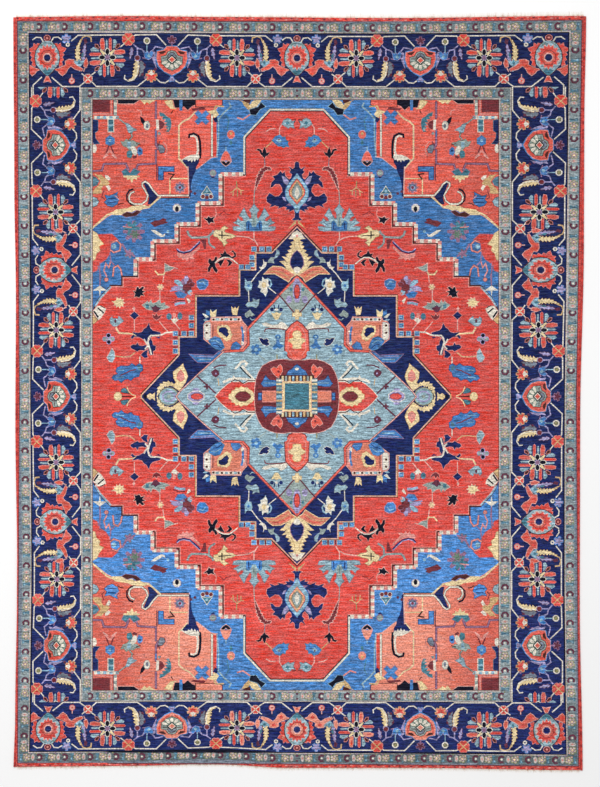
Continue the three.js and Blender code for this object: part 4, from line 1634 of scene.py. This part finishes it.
knot_cells = add("ShaderNodeTexVoronoi", Scale=1.0 / KNOT, feature="F1")
knot_bump = add("ShaderNodeBump", Strength=0.25, Distance=0.001, invert=True)
link(place.outputs["Object"], knot_cells.inputs["Vector"])
link(knot_cells.outputs["Distance"], knot_bump.inputs["Height"])
link(knot_bump.outputs["Normal"], shader.inputs["Normal"])
pile.data.materials.append(pile_wool)
print("pile wool has", len(pile_wool.node_tree.nodes), "nodes")

# %% [markdown]
# ## The side cords
# The last warps at each side are wrapped round and round with red wool yarn. One wrap is
# modelled: a short tube, flattened to the cord's width and height, and fuller in its middle.
# An Array modifier repeats it down the rug, and a Curve modifier lets it follow the waver of
# the side. A plain swept tube would lack the wraps that catch the light.

# %% One cord
CORD_WIDTH = 0.012
CORD_HEIGHT = 0.008
CORD_GAP = 0.0003
WRAP_PITCH = 0.0030
WRAP_SIDES = 10
GROOVE = 0.84               # the cord's size between two wraps


def cord_path(name, rim_rows, side):
    """A curve along the middle of one side cord, from the near end to the far end."""
    along, out = rim_rows
    curve = bpy.data.curves.new(name, "CURVE")
    curve.dimensions = "3D"
    spline = curve.splines.new("POLY")
    spline.points.add(len(along) - 1)
    for point, y, x in zip(spline.points, along, out):
        point.co = (x + side * (CORD_GAP + CORD_WIDTH / 2), y, CORD_HEIGHT / 2, 1)
    path = bpy.data.objects.new(name, curve)
    bpy.context.scene.collection.objects.link(path)
    length = sum(math.dist(a, b) for a, b in zip(zip(along, out), zip(along[1:], out[1:])))
    return path, length


def wrapped_cord(name, rim_rows, side):
    """A side cord of yarn wraps along the curve of one side."""
    path, length = cord_path(name + "_path", rim_rows, side)
    bpy.ops.object.select_all(action="DESELECT")
    bpy.ops.mesh.primitive_cylinder_add(vertices=WRAP_SIDES, radius=0.5, depth=WRAP_PITCH,
                                        end_fill_type="NOTHING", rotation=(0, math.pi / 2, 0))
    cord = bpy.context.object
    cord.name = name
    bpy.ops.object.transform_apply(rotation=True)
    bpy.ops.object.mode_set(mode="EDIT")
    bpy.ops.mesh.select_all(action="SELECT")
    bpy.ops.transform.resize(value=(1, CORD_WIDTH * GROOVE, CORD_HEIGHT * GROOVE))
    bpy.ops.mesh.subdivide(number_cuts=1)
    bpy.ops.mesh.select_all(action="DESELECT")
    bpy.ops.object.mode_set(mode="OBJECT")
    for point in cord.data.vertices:
        point.select = abs(point.co.x) < WRAP_PITCH / 4
    bpy.ops.object.mode_set(mode="EDIT")
    bpy.ops.transform.resize(value=(1, 1 / GROOVE, 1 / GROOVE))
    bpy.ops.object.mode_set(mode="OBJECT")
    repeat = cord.modifiers.new("wraps", "ARRAY")
    repeat.fit_type = "FIXED_COUNT"
    repeat.count = int(length / WRAP_PITCH)
    repeat.use_relative_offset = False
    repeat.use_constant_offset = True
    repeat.constant_offset_displace = (WRAP_PITCH, 0, 0)
    repeat.use_merge_vertices = True
    repeat.merge_threshold = 0.0001
    follow = cord.modifiers.new("side", "CURVE")
    follow.object = path
    follow.deform_axis = "POS_X"
    bpy.ops.object.modifier_apply(modifier="wraps")
    bpy.ops.object.modifier_apply(modifier="side")
    bpy.data.objects.remove(path)
    return cord


selvedges = [wrapped_cord("wrapped_cord_left", left_rim, -1),
             wrapped_cord("wrapped_cord_right", right_rim, 1)]
for cord in selvedges:
    print(cord.name, len(cord.data.polygons), "faces,", [round(v, 4) for v in cord.dimensions], "metres")

# %% Cord wool
def yarn_finish(name, roughness, sheen, shades, spread, stretch, twist, relief):
    """Spun yarn: two shades that change with stretched noise, and the fine ridges of its twist.

    spread holds the noise values of the two shades, twist the scale, distortion and direction
    of the ridges, and relief their height in metres.
    """
    material, shader, add, link = new_finish(name, roughness, sheen)
    place = add("ShaderNodeTexCoord")
    ramp = add("ShaderNodeValToRGB")
    for element, shade, position in zip(ramp.color_ramp.elements, shades, spread):
        element.color = linear(shade) + [1]
        element.position = position
    link(streaks(add, link, place, stretch), ramp.inputs["Fac"])
    link(ramp.outputs["Color"], shader.inputs["Base Color"])
    scale, distortion, direction = twist
    ridges = add("ShaderNodeTexWave", Scale=scale, Distortion=distortion, bands_direction=direction)
    bump = add("ShaderNodeBump", Strength=0.3, Distance=relief)
    link(place.outputs["Object"], ridges.inputs["Vector"])
    link(ridges.outputs["Fac"], bump.inputs["Height"])
    link(bump.outputs["Normal"], shader.inputs["Normal"])
    return material


cord_wool = yarn_finish("selvedge_wool", roughness=0.9, sheen=0.1,
                        shades=((150, 34, 40), (226, 84, 74)), spread=(0.32, 0.62),
                        stretch=(30.0, 60.0, 30.0), twist=(400.0, 2.0, "Y"), relief=0.0006)
for cord in selvedges:
    cord.data.materials.append(cord_wool)
print("cord wool has", len(cord_wool.node_tree.nodes), "nodes")

# %% [markdown]
# ## The webs and the cut warps
# Past the last row of knots a few rows of plain cotton hold the pile, and the warps that come
# out of them were cut short, so that their ends fray. The web is a thin ribbed strip. Each
# group of warps is a few tapering strands of its own, splayed by chance from a fixed seed.
# Thousands of hair strands would give the same look with far more to carry.

# %% Web strip
WEB_WIDTH = 0.007
WEB_GAP = 0.0003
WEB_HEIGHT = 0.0022
WEB_RIBS = 3
RIB_DEPTH = 0.28           # as a share of the web's height
WEB_EDGE = 0.35            # the web's height at its two edges, as a share
WEB_STEP = 0.012           # metres between the cross-sections of the web
WEB_CELLS = 12             # across the web


def web_strip(rim_rows, end):
    """Corners and faces of the flat-woven strip along one end. end is 1 at the far end."""
    stations = np.linspace(rim_rows[0][0], rim_rows[0][-1], int(np.ptp(rim_rows[0]) / WEB_STEP))
    rim_y = np.interp(stations, *rim_rows)
    across = np.linspace(0, 1, WEB_CELLS + 1)
    ribs = 0.5 + 0.5 * np.cos(across * 2 * math.pi * WEB_RIBS)
    heights = WEB_HEIGHT * (1 - RIB_DEPTH + RIB_DEPTH * ribs)
    heights[[0, -1]] = WEB_HEIGHT * WEB_EDGE
    top = [(x, y + end * (WEB_GAP + WEB_WIDTH * a), h) for x, y in zip(stations, rim_y)
           for a, h in zip(across, heights)]
    base = [(x, y + end * (WEB_GAP + WEB_WIDTH * a), 0.0) for x, y in zip(stations, rim_y)
            for a in (0, 1)]
    row = WEB_CELLS + 1
    quads = []
    for i in range(len(stations) - 1):
        a = i * row
        quads += [(a + j, a + j + 1, a + row + j + 1, a + row + j) for j in range(WEB_CELLS)]
        b = len(top) + 2 * i
        quads += [(b, b + 2, b + 3, b + 1), (a, a + row, b + 2, b)]
        quads.append((b + 1, b + 3, a + row + WEB_CELLS, a + WEB_CELLS))
    last = (len(stations) - 1) * row
    quads.append(tuple(range(row)) + (len(top) + 1, len(top)))
    quads.append(tuple(range(last + WEB_CELLS, last - 1, -1)) + (len(top) + 2 * len(stations) - 2,
                                                                 len(top) + 2 * len(stations) - 1))
    return top + base, quads


print("web strip:", len(web_strip(far_rim, 1)[1]), "faces")

# %% Cut warps
LOCKS = 148
STRANDS = 4                # in each lock
STRAND_SIDES = 4
STRAND_STEPS = 4
CUT = {1: (0.014, 0.003), -1: (0.008, 0.002)}   # length and raggedness at each end, in metres
ROOT = 0.001               # how deep a strand starts inside the web
LEAN = 0.003
LIFT = 0.001
THICKNESS = 0.0008
TAPER = 0.55               # the share of its thickness that a strand loses towards its cut
SEED = 5
STRAY = 0.3                # how far a strand strays along the end, as a share of the pitch


def strand(root, lean, length, thick, end, lift):
    """Corners and faces of one tapering strand that lies on the floor."""
    points = []
    for i in range(STRAND_STEPS + 1):
        t = i / STRAND_STEPS
        radius = thick * (1 - TAPER * t)
        x = root[0] + lean * t * t
        y = root[1] + end * length * t
        z = radius + lift * math.sin(math.pi * min(1.0, 1.2 * t)) * (1 - t)
        for side in range(STRAND_SIDES):
            angle = 2 * math.pi * (side + 0.5) / STRAND_SIDES
            points.append((x + radius * math.cos(angle), y, z + radius * math.sin(angle)))
    quads = [tuple(range(STRAND_SIDES))[::-1]]
    for i in range(STRAND_STEPS):
        for side in range(STRAND_SIDES):
            a = i * STRAND_SIDES + side
            b = i * STRAND_SIDES + (side + 1) % STRAND_SIDES
            quads.append((a, b, b + STRAND_SIDES, a + STRAND_SIDES))
    last_ring = STRAND_STEPS * STRAND_SIDES
    quads.append(tuple(range(last_ring, last_ring + STRAND_SIDES)))
    return points, quads


def fringed_end(name, rim_rows, end):
    """The web of one end with all its cut warps, as one mesh."""
    chance = np.random.default_rng(SEED + end)
    points, quads = web_strip(rim_rows, end)
    length, ragged = CUT[end]
    low, high = rim_rows[0][0], rim_rows[0][-1]
    pitch = (high - low) / (LOCKS * STRANDS)
    for i in range(LOCKS * STRANDS):
        x = low + pitch * (i + 0.5 + STRAY * chance.uniform(-1, 1))
        y = np.interp(x, *rim_rows) + end * (WEB_GAP + WEB_WIDTH - ROOT)
        reach = ROOT + length + ragged * chance.uniform(-1, 1)
        more, faces_more = strand((x, y), LEAN * chance.uniform(-1, 1), reach, THICKNESS, end,
                                  LIFT * chance.uniform(0, 1))
        start = len(points)
        points += more
        quads += [tuple(start + k for k in quad) for quad in faces_more]
    mesh = bpy.data.meshes.new(name)
    mesh.from_pydata(points, [], quads)
    fringe = bpy.data.objects.new(name, mesh)
    bpy.context.scene.collection.objects.link(fringe)
    work = bmesh.new()
    work.from_mesh(mesh)
    bmesh.ops.recalc_face_normals(work, faces=work.faces)
    work.to_mesh(mesh)
    work.free()
    return fringe


fringes = [fringed_end("cut_warps_far", far_rim, 1), fringed_end("cut_warps_near", near_rim, -1)]
for fringe in fringes:
    print(fringe.name, len(fringe.data.polygons), "faces,", [round(v, 4) for v in fringe.dimensions])

# %% Undyed cotton
end_cotton = yarn_finish("end_cotton", roughness=0.95, sheen=0.05,
                         shades=((214, 190, 170), (247, 242, 232)), spread=(0.30, 0.55),
                         stretch=(60.0, 12.0, 10.0), twist=(500.0, 1.5, "X"), relief=0.0005)
for fringe in fringes:
    fringe.data.materials.append(end_cotton)
print("cotton has", len(end_cotton.node_tree.nodes), "nodes")

# %% [markdown]
# ## Tie the pieces to the measured model
# Each new piece stands for one solid, which is hidden, and rides on the rug's only body:
# the pile, the two cords and the two webs alike.

# %% Hide the solids and attach the pieces
parts = {"pile": pile, "selvedge_left": selvedges[0], "selvedge_right": selvedges[1],
         "fringe_far": fringes[0], "fringe_near": fringes[1]}
for node_name, piece in parts.items():
    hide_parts(node_name)
    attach(piece, "root")
